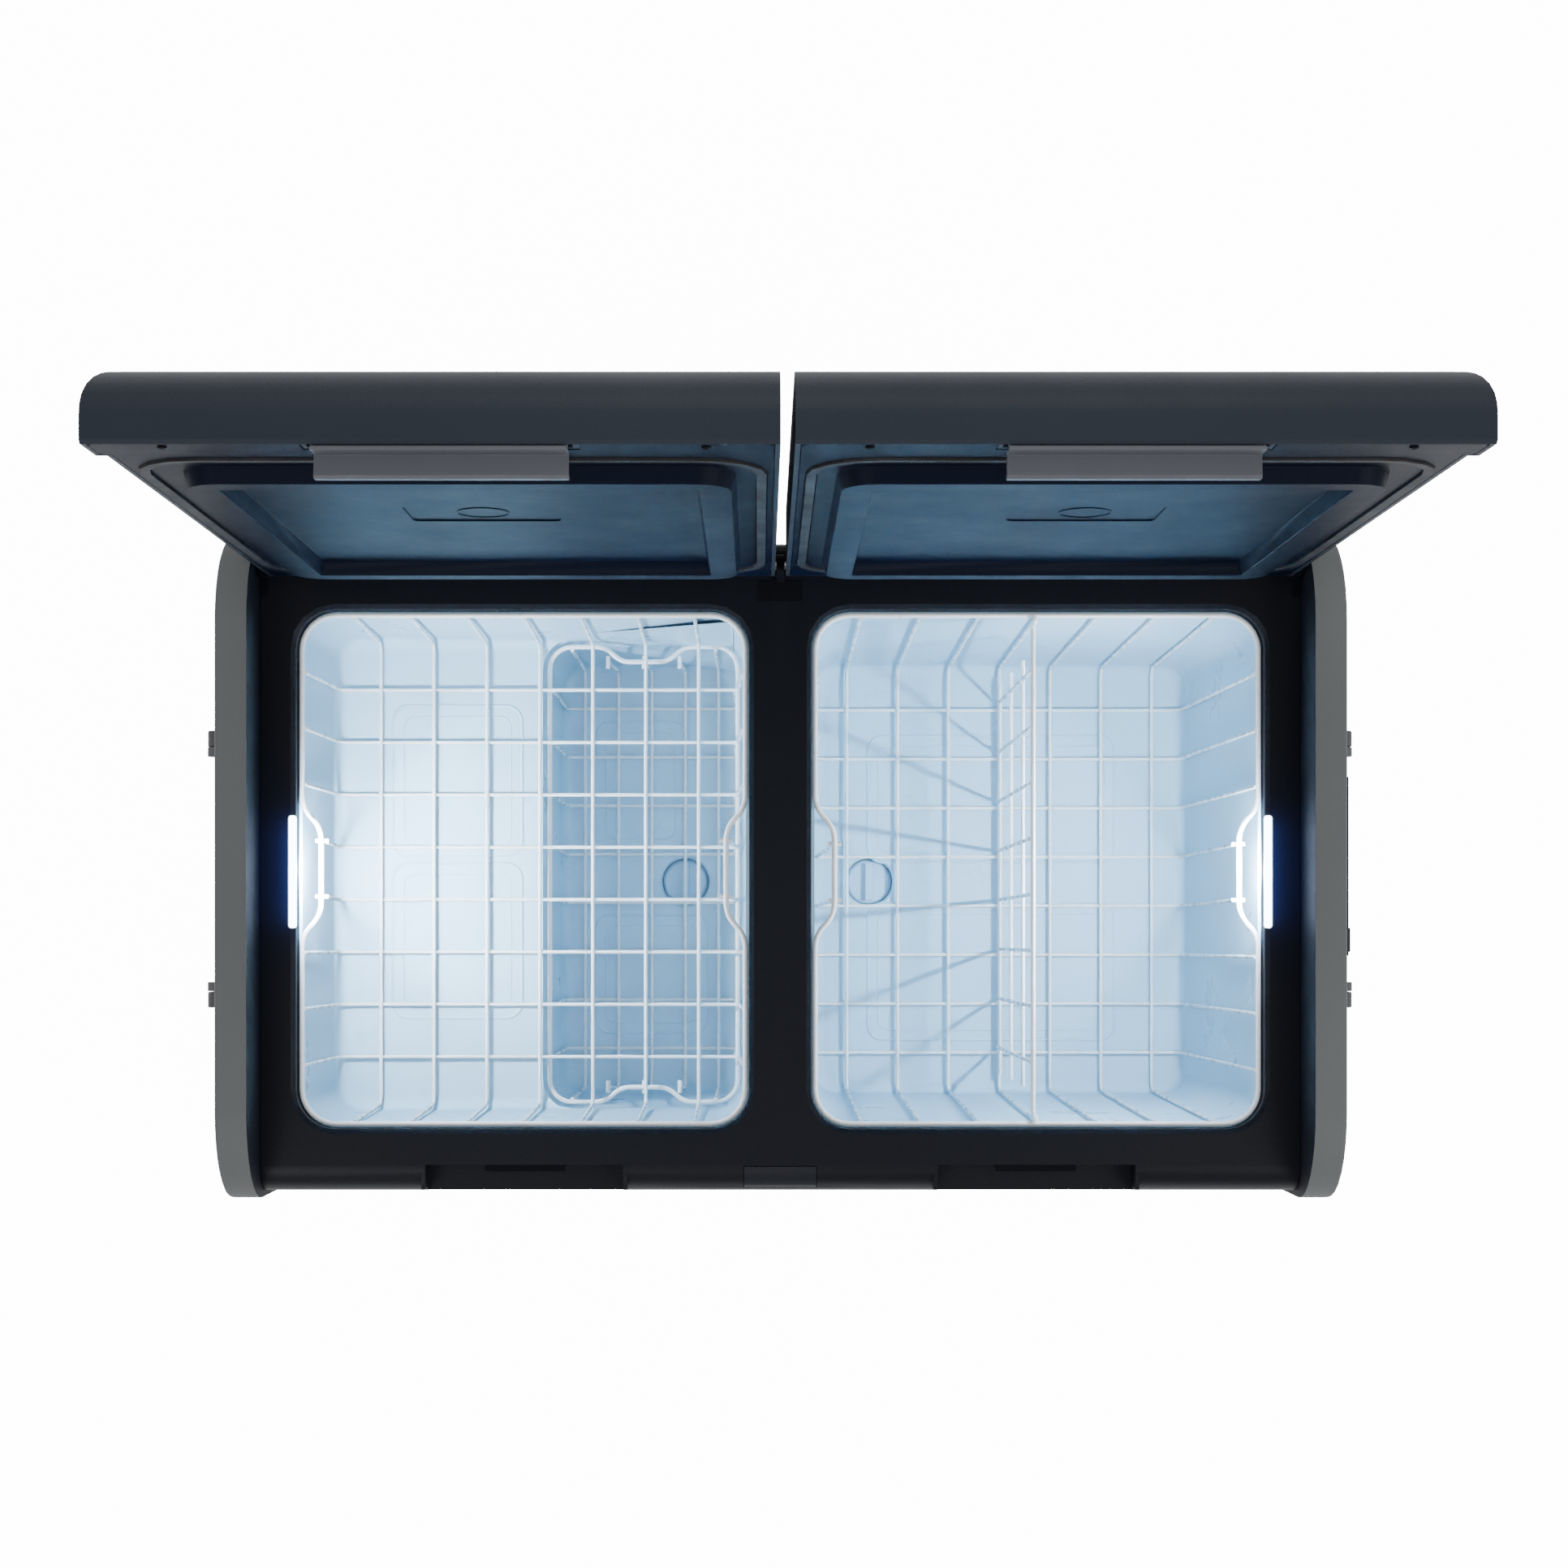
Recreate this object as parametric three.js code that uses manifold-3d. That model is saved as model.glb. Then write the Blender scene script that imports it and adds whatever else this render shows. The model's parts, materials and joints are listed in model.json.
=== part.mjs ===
// Dual-zone compressor cooler fridge with two side-by-side lids, shown open. Millimetres, +Z up.
// Lengths are measured from the middle of the body: -Y is the front, "near" and "far" are
// distances from the middle plane X = 0, and side is -1 for the left half and +1 for the right.
import * as THREE from 'three';
import { mergeVertices } from 'three/addons/utils/BufferGeometryUtils.js';
import { ConvexGeometry } from 'three/addons/geometries/ConvexGeometry.js';
import Module from 'manifold-3d';

const wasm = await Module();
wasm.setup();

// ---- driving dimensions ----
const GAP = 0.3;
const WALL = 3;

const FOOT_HEIGHT = 12;
const FOOT_RADIUS = 20;
const FOOT_X = 350;
const FOOT_Y = 190;

const BASE_TOP = 17;
const CHEEK = { near: 389, far: 413, top: 472, cornerY: 69, cornerZ: 57 };
const BODY_HALF_DEPTH = 247.5;
const SKIN_END = CHEEK.near - 0.3;
const SKIN_Y = 243;

const FRAME_TOP = 425;
const FRAME_BOTTOM = 396;
const RAIL_RADIUS = 21;
const REAR_RADIUS = 8;

const OPENING = { near: 22.5, far: 363, front: -196, back: 194, r: 30 };
const LINER_WALL = 2.5;
const LINER_INNER = { near: 25.5, far: 360, front: -193, back: 191, r: 27 };
const LINER_TAPER = 0.02;
const LINER_LIP = 421.6;
const LEDGE_Z = 411;
const LINER_FLOOR = 127;
const STEP_FLOOR = 284;
const WELL_FAR = 193;
const DRAIN_X = 80;
const DRAIN_Y = -3;
const LENS = { near: 361.8, far: 367.6, halfLength: 42 };

const HINGE_Y = 224;
const HINGE_Z = 434;
const LID = { near: 4, far: 381, front: -246, back: 231, bottom: 427, top: 477 };
const LID_NOSE = { far: 387.5, back: -212, lipTop: 443, cornerY: 56 };
const LID_END = { x: 12, z: 30 };
const PLUG_DEPTH = 10;
const LATCH_X = 191.5;
const LATCH_PIVOT = { y: -238, z: 449 };

const HANDLE_PIVOT = { x: 429, z: 385 };
const HANDLE_ARM_Y = 99.5;
const HANDLE_GRIP_Z = 270;

const MODULE = { halfY: 65.5, back: 394, bottom: 392, top: 463, face: 415.5 };
const BUTTON_Y = [37, 9, -19];
const BAY = { near: 216, top: 245 };

const WIRE = 3;
const RIM = 4;
const RIM_TOP = LEDGE_Z + 0.3 + RIM;

// The origin sits under the middle of the whole open fridge, lids included.
const LID_BACK_Y = HINGE_Y + LID.top - HINGE_Z;
const ORIGIN_Y = (LID_BACK_Y - BODY_HALF_DEPTH) / 2;

// ---- shape helpers ----
function solidOf(geometry) {
  const bare = geometry.clone();
  bare.deleteAttribute('normal');
  bare.deleteAttribute('uv');
  const merged = mergeVertices(bare, 1e-4);
  const index = merged.index.array;
  const kept = [];
  for (let i = 0; i < index.length; i += 3) {
    const [a, b, c] = [index[i], index[i + 1], index[i + 2]];
    if (a !== b && b !== c && c !== a) kept.push(a, b, c);
  }
  return new wasm.Manifold(new wasm.Mesh({
    numProp: 3,
    vertProperties: new Float32Array(merged.attributes.position.array),
    triVerts: new Uint32Array(kept),
  }));
}

function join(...solids) {
  return solids.flat().reduce((all, one) => all.add(one));
}

function cut(solid, ...tools) {
  return tools.flat().reduce((left, tool) => left.subtract(tool), solid);
}

function box(x0, x1, y0, y1, z0, z1) {
  const geometry = new THREE.BoxGeometry(Math.abs(x1 - x0), y1 - y0, z1 - z0);
  return solidOf(geometry.translate((x0 + x1) / 2, (y0 + y1) / 2, (z0 + z1) / 2));
}

function rod(axis, from, to, a, b, radius, sides = 16) {
  const geometry = new THREE.CylinderGeometry(radius, radius, Math.abs(to - from), sides);
  const middle = (from + to) / 2;
  if (axis === 'x') return solidOf(geometry.rotateZ(Math.PI / 2).translate(middle, a, b));
  if (axis === 'y') return solidOf(geometry.translate(a, middle, b));
  return solidOf(geometry.rotateX(Math.PI / 2).translate(a, b, middle));
}

function shapeOf(points) {
  return new THREE.Shape(points.map(([a, b]) => new THREE.Vector2(a, b)));
}

// A (y, z) outline pushed along X.
function alongX(points, x0, x1) {
  const geometry = new THREE.ExtrudeGeometry(shapeOf(points), { depth: x1 - x0, bevelEnabled: false });
  const turn = new THREE.Matrix4().makeBasis(
    new THREE.Vector3(0, 1, 0), new THREE.Vector3(0, 0, 1), new THREE.Vector3(1, 0, 0));
  return solidOf(geometry.applyMatrix4(turn).translate(x0, 0, 0));
}

// An (x, z) outline pushed along Y.
function alongY(points, y0, y1) {
  const geometry = new THREE.ExtrudeGeometry(shapeOf(points), { depth: y1 - y0, bevelEnabled: false });
  const turn = new THREE.Matrix4().makeBasis(
    new THREE.Vector3(1, 0, 0), new THREE.Vector3(0, 0, 1), new THREE.Vector3(0, -1, 0));
  return solidOf(geometry.applyMatrix4(turn).translate(0, y1, 0));
}

function alongZ(points, z0, z1) {
  const geometry = new THREE.ExtrudeGeometry(shapeOf(points), { depth: z1 - z0, bevelEnabled: false });
  return solidOf(geometry.translate(0, 0, z0));
}

function arc(cx, cy, radius, from, to, steps) {
  return Array.from({ length: steps + 1 }, (_, i) => {
    const angle = THREE.MathUtils.degToRad(from + (to - from) * i / steps);
    return [cx + radius * Math.cos(angle), cy + radius * Math.sin(angle)];
  });
}

function roundedRect({ x0, x1, y0, y1, r }, grow = 0, steps = 4) {
  const [a, b, c, d] = [x0 - grow + r + grow, x1 + grow - r - grow, y0 + r, y1 - r];
  const radius = r + grow;
  return [
    ...arc(b, c, radius, -90, 0, steps),
    ...arc(b, d, radius, 0, 90, steps),
    ...arc(a, d, radius, 90, 180, steps),
    ...arc(a, c, radius, 180, 270, steps),
  ];
}

// The rectangle of one half of the fridge, from distances to the middle plane.
function half(side, { near, far, front, back, r }) {
  return { x0: Math.min(side * near, side * far), x1: Math.max(side * near, side * far), y0: front, y1: back, r };
}

// A convex block through a stack of outlines, each at its own height.
function stack(levels) {
  const points = levels.flatMap(({ outline, z }) => outline.map(([x, y]) => new THREE.Vector3(x, y, z)));
  return solidOf(new ConvexGeometry(points));
}

function lathe(profile, x, y, sides = 20) {
  const geometry = new THREE.LatheGeometry(profile.map(([r, z]) => new THREE.Vector2(r, z)), sides);
  return solidOf(geometry.rotateX(Math.PI / 2).translate(x, y, 0));
}

// ---- materials ----
const COLOURS = {
  slate: [0x30363f, 0.55, 0.0],
  frameBlack: [0x14161b, 0.5, 0.0],
  panelGrey: [0x6f7376, 0.6, 0.0],
  liner: [0xe4eef4, 0.35, 0.0],
  lens: [0xf4faff, 0.3, 0.0],
  rubber: [0x101113, 0.85, 0.0],
  wire: [0xf2f4f5, 0.35, 0.0],
  steel: [0xb4b7ba, 0.35, 1.0],
  darkSteel: [0x2a2b2d, 0.5, 0.6],
  copper: [0xb06a3c, 0.35, 1.0],
  aluminium: [0xb9bdc0, 0.4, 1.0],
  foam: [0xe8dcae, 0.9, 0.0],
  board: [0x1d5a38, 0.6, 0.0],
  gloss: [0x0b0c0e, 0.12, 0.0],
};

function material(kind) {
  const [color, roughness, metalness] = COLOURS[kind];
  return new THREE.MeshStandardMaterial({ color, roughness, metalness });
}

// ---- base, feet and outer skin ----
function foot(sideX, sideY) {
  const profile = [[0, 0], [FOOT_RADIUS - 2, 0], [FOOT_RADIUS, 2], [FOOT_RADIUS - 3, FOOT_HEIGHT - GAP],
    [0, FOOT_HEIGHT - GAP]];
  return lathe(profile, sideX * FOOT_X, sideY * FOOT_Y, 16);
}

function basePan() {
  const slots = [0, 1, 2, 3, 4].map((i) => box(-375, -240, -150 + i * 60, -138 + i * 60, 5, 30));
  const drains = [-1, 1].map((side) => rod('z', 5, 30, side * DRAIN_X, DRAIN_Y, 8));
  return cut(box(-385.5, 385.5, -239.5, 239.5, FOOT_HEIGHT, BASE_TOP), slots, drains);
}

function frontPanel() {
  const plate = box(-SKIN_END, SKIN_END, -SKIN_Y, -SKIN_Y + WALL, FOOT_HEIGHT, FRAME_BOTTOM - GAP);
  const grooves = [0, 1, 2, 3, 4, 5].map((i) => {
    const z = 92 + i * 46;
    return box(-350, 350, -SKIN_Y - 5, -SKIN_Y + 1.2, z, z + 5);
  });
  return cut(plate, grooves);
}

function backPanel() {
  const plate = box(-SKIN_END, SKIN_END, SKIN_Y - WALL, SKIN_Y, FOOT_HEIGHT, FRAME_BOTTOM - GAP);
  const slots = [0, 1, 2, 3, 4, 5, 6].map((i) => box(-374, -240, 230, 250, 46 + i * 22, 56 + i * 22));
  const grooves = [0, 1, 2, 3].map((i) => box(-190, 350, SKIN_Y - 1.2, 250, 92 + i * 69, 97 + i * 69));
  return cut(plate, slots, grooves);
}

// The end panel's outline from the side, with its two big top corners, drawn in by an inset.
function cheekOutline(inset) {
  const { top, cornerY, cornerZ } = CHEEK;
  const depth = BODY_HALF_DEPTH - inset;
  const corner = Array.from({ length: 9 }, (_, i) => {
    const angle = i * Math.PI / 16;
    return [
      BODY_HALF_DEPTH - cornerY + (cornerY - inset) * Math.cos(angle),
      top - cornerZ + (cornerZ - inset) * Math.sin(angle),
    ];
  });
  const right = [[depth - 8, FOOT_HEIGHT + inset], [depth, FOOT_HEIGHT + 8 + inset], ...corner];
  return [...right, ...right.map(([y, z]) => [-y, z]).reverse()];
}

function sideStack(side, levels) {
  const points = levels.flatMap(([x, outline]) => outline.map(([y, z]) => new THREE.Vector3(side * x, y, z)));
  return solidOf(new ConvexGeometry(points));
}

function endPanel(side) {
  const { near, far } = CHEEK;
  const outer = sideStack(side, [[near, cheekOutline(0)], [far - 4, cheekOutline(0)], [far - 1.2, cheekOutline(1.2)],
    [far, cheekOutline(4)]]);
  const hollow = sideStack(side, [[near + WALL, cheekOutline(WALL)], [far - WALL, cheekOutline(WALL)]]);
  const mouth = box(side * (near - 9), side * (near + 5), -243, 243, FOOT_HEIGHT + 4, 392);
  const fingerWall = box(side * (far - 17), side * (far - 2), -75, 75, 246, 292);
  const fingerCut = box(side * (far - 14), side * (far + 20), -72, 72, 249, 289);
  const lugs = [-1, 1].flatMap((sideY) => handleLug(side, sideY));
  const panel = cut(join(cut(outer, hollow, mouth), fingerWall, lugs), fingerCut);
  if (side < 0) {
    return cut(panel, box(-440, -405, -100, 80, 45, 195), box(-440, -405, 121.6, 158.4, 61.6, 88.4));
  }
  const { halfY, back, bottom, top } = MODULE;
  const pocketWall = box(back - 2.8, far - 2, -halfY - 3, halfY + 3, bottom - 3, top + 3);
  const pocket = box(back - GAP, 440, -halfY - GAP, halfY + GAP, bottom - GAP, top + GAP);
  return cut(join(panel, pocketWall), pocket);
}

function handleLug(side, sideY) {
  const { x, z } = HANDLE_PIVOT;
  const cheek = alongY([
    [side * 411, z - 17], ...arc(side * x, z, 8, side > 0 ? -75 : 255, side > 0 ? 75 : 105, 5), [side * 411, z + 17],
  ], sideY > 0 ? 86 : -93, sideY > 0 ? 93 : -86);
  return [cheek, rod('y', sideY * 90, sideY * 104, side * x, z, 3, 12)];
}

function ventGrille() {
  const plate = box(-413, -408.5, -99.6, 79.6, 45.4, 194.6);
  const slots = [0, 1, 2, 3, 4, 5, 6, 7].flatMap((i) => {
    const z = 53 + i * 17.4;
    return [box(-420, -400, -92, -14, z, z + 11), box(-420, -400, -6, 72, z, z + 11)];
  });
  return cut(plate, slots);
}

function powerInlet() {
  const flange = box(-415, -413.3, 118, 162, 58, 92);
  const body = box(-413.4, -393, 122, 158, 62, 88);
  const socket = box(-420, -399, 127, 153, 66, 84);
  const pins = [134, 146].map((y) => rod('x', -407, -398, y, 75, 2.5, 8));
  return join(cut(join(flange, body), socket), pins);
}

// ---- top frame ----
function railOutline(inset) {
  const front = SKIN_Y - inset;
  const frontTurn = arc(-SKIN_Y + RAIL_RADIUS, FRAME_TOP - RAIL_RADIUS, RAIL_RADIUS - inset, 180, 90, 6);
  const backTurn = arc(SKIN_Y - REAR_RADIUS, FRAME_TOP - REAR_RADIUS, REAR_RADIUS - inset, 90, 0, 3);
  const low = FRAME_BOTTOM - (inset ? 5 : 0);
  return [[-front, low], ...frontTurn, ...backTurn, [front, low]].reverse();
}

function topFrame() {
  const skin = cut(alongX(railOutline(0), -SKIN_END, SKIN_END),
    alongX(railOutline(WALL), -SKIN_END + WALL, SKIN_END - WALL));
  const windows = [-1, 1].flatMap((side) => {
    const outline = roundedRect(half(side, OPENING));
    const flared = roundedRect(half(side, OPENING), 3);
    return [
      alongZ(outline, 405, FRAME_TOP + 5),
      stack([{ outline, z: FRAME_TOP - 2.5 }, { outline: flared, z: FRAME_TOP + 0.1 }]),
    ];
  });
  const pockets = [-1, 1].map((side) => box(side * LATCH_X - 77, side * LATCH_X + 77, -241, -219, 399, 424));
  const recesses = [-1, 1].map((side) => box(side * LATCH_X - 74, side * LATCH_X + 74, -260, -222, 402, 440));
  const lensSeats = [-1, 1].map((side) => lensBar(side, 0.3, 405, 440));
  const capSeat = cut(box(-27.5, 27.5, -240, -223, 409, 440), alongX(railOutline(1.5), -30, 30));
  return cut(join(skin, pockets), windows, recesses, lensSeats, capSeat);
}

function centreCap() {
  const span = box(-27, 27, -239.6, -223.4, 409.5, 440);
  return cut(alongX(railOutline(-0.6), -27, 27).intersect(span), alongX(railOutline(1.2), -30, 30));
}

function latchStrike(side) {
  const x = side * LATCH_X;
  return join(box(x - 30, x + 30, -227.6, -222.3, 417.5, 420), box(x - 30, x + 30, -224.5, -222.3, 406, 419));
}

// ---- liners, foam and evaporators ----
// A tapered tub with a soft floor edge; grow moves every wall outwards.
function tub(side, rect, floor, top, grow) {
  const level = (z, extra) => {
    const inset = LINER_TAPER * (FRAME_TOP - z) + extra;
    const outline = roundedRect(half(side, rect), grow - inset);
    return { outline, z };
  };
  return stack([level(top, 0), level(floor + 14 - grow, 0), level(floor + 4 - grow, 3), level(floor - grow, 11)]);
}

function tubs(side, grow, top) {
  if (side > 0) return tub(side, LINER_INNER, LINER_FLOOR, top, grow);
  const well = { ...LINER_INNER, far: WELL_FAR };
  return join(tub(side, LINER_INNER, STEP_FLOOR, top, grow), tub(side, well, LINER_FLOOR, STEP_FLOOR + 20, grow));
}

// The collar above the taper: its floor is the ledge that carries the basket rim.
function collar(side, grow, z0, z1) {
  return alongZ(roundedRect(half(side, OPENING), grow - 0.4), z0, z1);
}

function liner(side) {
  const flange = alongZ(roundedRect(half(side, LINER_INNER), 10.4), 418, LINER_LIP);
  const cup = rod('z', 110, 126, side * DRAIN_X, DRAIN_Y, 24, 20);
  const cupInside = rod('z', 113, 140, side * DRAIN_X, DRAIN_Y, 20.5, 20);
  const drain = rod('z', 100, 120, side * DRAIN_X, DRAIN_Y, 5, 12);
  const outerCollar = collar(side, LINER_WALL, LEDGE_Z - LINER_WALL, LINER_LIP);
  const shell = join(tubs(side, LINER_WALL, LINER_LIP), outerCollar, flange, cup);
  return cut(shell, tubs(side, 0, 440), collar(side, 0, LEDGE_Z, 440), cupInside, drain);
}

function evaporatorBand(side, grow, margin) {
  const well = side > 0 ? LINER_INNER : { ...LINER_INNER, far: WELL_FAR };
  const [low, high] = side > 0 ? [170, 330] : [160, 262];
  const slab = box(-400, 400, -230, 230, low - margin, high + margin);
  return tub(side, well, LINER_FLOOR, side > 0 ? 440 : STEP_FLOOR + 10, grow).intersect(slab);
}

function evaporator(side) {
  return cut(evaporatorBand(side, LINER_WALL + 2.1, 0), evaporatorBand(side, LINER_WALL + 0.5, 5));
}

function insulation() {
  const lower = box(-385.5, 385.5, -239.6, 239.6, BASE_TOP + GAP, 398.6);
  const upper = box(-385, 385, -218.6, 232, 398, 417.5);
  const bay = box(-410, -BAY.near, -245, 245, 0, BAY.top);
  const spaces = [-1, 1].flatMap((side) => [
    tubs(side, LINER_WALL + 0.4, 440),
    collar(side, LINER_WALL + 0.4, LEDGE_Z - LINER_WALL - 0.4, 440),
    evaporatorBand(side, LINER_WALL + 2.5, 0.5),
    rod('z', 109.5, 135, side * DRAIN_X, DRAIN_Y, 24.5, 20),
    rod('z', 10, 112, side * DRAIN_X, DRAIN_Y, 8, 12),
  ]);
  return cut(join(lower, upper), bay, spaces);
}

// A lens lies in the outer long edge of each opening; grow widens it into its seat.
function lensBar(side, grow, z0, z1) {
  const { near, far, halfLength } = LENS;
  const [x0, x1] = side > 0 ? [near, far] : [-far, -near];
  return alongZ(roundedRect({ x0, x1, y0: DRAIN_Y - halfLength, y1: DRAIN_Y + halfLength, r: 2 }, grow), z0, z1);
}

function ledLens(side) {
  return lensBar(side, 0, 422, FRAME_TOP - 0.4);
}

function drainPlug(side) {
  const disc = lathe([[0, 108], [4.4, 108], [4.4, 113.4], [19.6, 113.4], [19.6, 119], [17.5, 121], [0, 121]],
    side * DRAIN_X, DRAIN_Y);
  return join(disc, box(side * DRAIN_X - 3, side * DRAIN_X + 3, DRAIN_Y - 16, DRAIN_Y + 16, 120, 126));
}

// ---- lids, modelled closed and turned open about the hinge line ----
// The lid's side profile closed: a short upright lip, a long rounded nose, a flat top and back.
function lidProfile(inset) {
  const { front, back, bottom, top } = LID;
  const { lipTop, cornerY } = LID_NOSE;
  const nose = Array.from({ length: 9 }, (_, i) => {
    const angle = i * Math.PI / 16;
    return [
      front + cornerY - (cornerY - inset) * Math.cos(angle),
      lipTop + (top - inset - lipTop) * Math.sin(angle),
    ];
  });
  const low = bottom - (inset ? 5 : 0);
  const bevel = inset ? 0 : 2;
  return [
    [front + inset + bevel, low], [front + inset, low + bevel], ...nose,
    ...arc(back - 8, top - 8, 8 - inset, 90, 0, 3), [back - inset, low + 2], [back - inset - 3, low],
  ];
}

// The outer end of a lid seen from the front: upright, then rounded over to the flat top.
function lidEnd(side, far, inset) {
  const turn = Array.from({ length: 7 }, (_, i) => {
    const angle = i * Math.PI / 12;
    return [
      far - LID_END.x + (LID_END.x - inset) * Math.cos(angle),
      LID.top - LID_END.z + (LID_END.z - inset) * Math.sin(angle),
    ];
  });
  const outline = [[0, 400], [far - inset, 400], ...turn, [0, LID.top - inset]];
  const turned = side > 0 ? outline : outline.map(([x, z]) => [-x, z]).reverse();
  return alongY(turned, LID.front - 10, LID.back + 10);
}

function lidSlab(side, inset) {
  const span = (near, far) => (side > 0 ? [near, far] : [-far, -near]);
  const slab = (far) => alongX(lidProfile(inset).reverse(), ...span(LID.near + inset, far - inset))
    .intersect(lidEnd(side, far, inset));
  const front = box(-400, 400, -300, LID_NOSE.back - inset, 400, 500);
  return join(slab(LID.far), slab(LID_NOSE.far).intersect(front));
}

function lidCover(side) {
  const x = side * LATCH_X;
  const pocket = box(x - 76, x + 76, -240, -229, LID.bottom + 0.5, LATCH_PIVOT.z + 7.6);
  const latchRoom = join(box(x - 73, x + 73, LID.front + WALL, -232, 420, LATCH_PIVOT.z + 2),
    box(x - 73, x + 73, LID.front + 4.1, -232, 440, LATCH_PIVOT.z + 4.6));
  const latchBores = rod('x', x - 75.7, x + 75.7, LATCH_PIVOT.y, LATCH_PIVOT.z, 2.5, 10);
  const hingeBores = [LID.near, LID.far].map((at) =>
    rod('x', side * at - 6, side * at + 6, HINGE_Y, HINGE_Z, 3.6, 14));
  return cut(join(cut(lidSlab(side, 0), lidSlab(side, WALL)), pocket), latchRoom, latchBores, hingeBores);
}

function lidPlate(side, far, front, back) {
  const rect = { near: LID.near + WALL + 0.4, far: far - WALL - 0.4, front, back, r: 3 };
  return alongZ(roundedRect(half(side, rect), 0, 1), LID.bottom, LID.bottom + WALL);
}

function lidLiner(side) {
  const x = side * LATCH_X;
  const plug = { near: 29, far: 351, front: -184, back: 181, r: 24 };
  const plate = join(lidPlate(side, LID.far, LID.front + 3.4, LID.back - 3.4),
    lidPlate(side, LID_NOSE.far, LID.front + 3.4, LID_NOSE.back - 3.4));
  const raised = stack([
    { outline: roundedRect(half(side, plug)), z: LID.bottom + 1 },
    { outline: roundedRect(half(side, plug), -3), z: LID.bottom - PLUG_DEPTH },
  ]);
  const recess = stack([
    { outline: roundedRect(half(side, plug), -20), z: LID.bottom - PLUG_DEPTH - 5 },
    { outline: roundedRect(half(side, plug), -24), z: LID.bottom },
  ]);
  const badge = alongZ(roundedRect({ x0: x - 48, x1: x + 48, y0: -57, y1: -4, r: 5 }, 0, 2), 420, LID.bottom + 1.2);
  const groove = gasketRing(side, 0.4, 420, LID.bottom + 1.6);
  const latchRoom = box(x - 76.4, x + 76.4, -260, -228.6, 420, 440);
  return cut(join(plate, raised), recess, badge, groove, latchRoom);
}

function gasketRing(side, margin, z0, z1) {
  const outer = alongZ(roundedRect(half(side, OPENING), 11 + margin), z0, z1);
  return cut(outer, alongZ(roundedRect(half(side, OPENING), 5 - margin), z0 - 1, z1 + 1));
}

function lidFoam(side) {
  const rect = { near: LID.near + 8, far: LID.far - 8, front: -226, back: 208, r: 10 };
  return stack([
    { outline: roundedRect(half(side, rect), 0, 2), z: LID.bottom + WALL + 0.4 },
    { outline: roundedRect(half(side, rect), 0, 2), z: 460 },
    { outline: roundedRect(half(side, { ...rect, front: -196, far: LID.far - 14 }), 0, 2), z: LID.top - WALL - 0.4 },
  ]);
}

// A plate hung inside the lid's front wall: a flange under the lid, then a lip with a hook behind it.
function latch(side) {
  const x = side * LATCH_X;
  const { y, z } = LATCH_PIVOT;
  const profile = [
    [-240, 426], [-244.5, 426], [-244.5, 423.8], [-231, 423.8], [-232, 412], [-231, 410.5], [-225, 410.5],
    [-225, 413], [-228, 414.5], [-228, 426], [-236.5, 426], [-236.5, z - 2], ...arc(y, z, 4, -30, 210, 8),
    [-240, z - 2],
  ];
  return join(alongX(profile.reverse(), x - 70.5, x + 70.5), rod('x', x - 75, x + 75, y, z, 2, 10));
}

// ---- hinge brackets and pins ----
function hingeLug(x0, x1) {
  const outline = [[213, 425.3], [234, 425.3], ...arc(HINGE_Y, HINGE_Z, 8.5, 0, 180, 6)];
  return cut(alongX(outline, x0, x1), rod('x', x0 - 2, x1 + 2, HINGE_Y, HINGE_Z, 3.3, 14));
}

function centreHinge() {
  return join(hingeLug(-3, 3), box(-16, 16, 199, 214, 425.3, 426.5));
}

function endHinge(side) {
  const [x0, x1] = side > 0 ? [382, 387] : [-387, -382];
  return join(hingeLug(x0, x1), box(side * 382, side * 388.5, 204, 232, 425.3, 427.6));
}

// ---- carrying handles ----
function handle(side) {
  const x = HANDLE_PIVOT.x;
  const z = HANDLE_GRIP_Z;
  const arms = [-1, 1].map((sideY) => {
    const outline = [
      [side * (x + 3), z], [side * (x + 15), z], [side * (x + 15), z + 30], [side * (x + 6), z + 62],
      ...arc(side * x, HANDLE_PIVOT.z, 8, side > 0 ? 0 : 180, side > 0 ? 180 : 0, 6), [side * (x - 5), z + 62],
      [side * (x + 3), z + 30],
    ];
    const y = sideY * HANDLE_ARM_Y;
    return alongY(side > 0 ? outline : outline.reverse(), y - 6, y + 6);
  });
  const grip = alongY([
    [side * (x + 1), z - 5], [side * (x + 5), z - 10], [side * (x + 13), z - 10], [side * (x + 17), z - 5],
    [side * (x + 17), z + 5], [side * (x + 13), z + 10], [side * (x + 5), z + 10], [side * (x + 1), z + 5],
  ], -HANDLE_ARM_Y - 6, HANDLE_ARM_Y + 6);
  const bores = [-1, 1].map((sideY) => rod('y', sideY * 90, sideY * 104.4, side * x, HANDLE_PIVOT.z, 3.4, 12));
  return cut(join(arms, grip), bores);
}

// ---- control module ----
function displayBezel() {
  const { halfY, back, bottom, top, face } = MODULE;
  const shell = cut(box(back, face, -halfY, halfY, bottom, top),
    box(back - 5, face - WALL, -halfY + 3, halfY - 3, bottom + 3, top - 3));
  const window = box(face - 1.5, 440, -34, 52, bottom + 27, top - 7);
  const buttonHoles = BUTTON_Y.map((y) => box(back + 5, 440, y - 7.4, y + 7.4, bottom + 8.6, bottom + 19.4));
  const socketBlock = box(back + 1, face - 1, -64, -44, bottom + 36, bottom + 58);
  const socket = box(back + 4, 440, -61, -47, bottom + 40, bottom + 54);
  return cut(join(shell, socketBlock), window, buttonHoles, socket);
}

function displayWindow() {
  const { bottom, top, face } = MODULE;
  return box(face - 1.2, face + 0.2, -33.7, 51.7, bottom + 27.3, top - 7.3);
}

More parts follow.
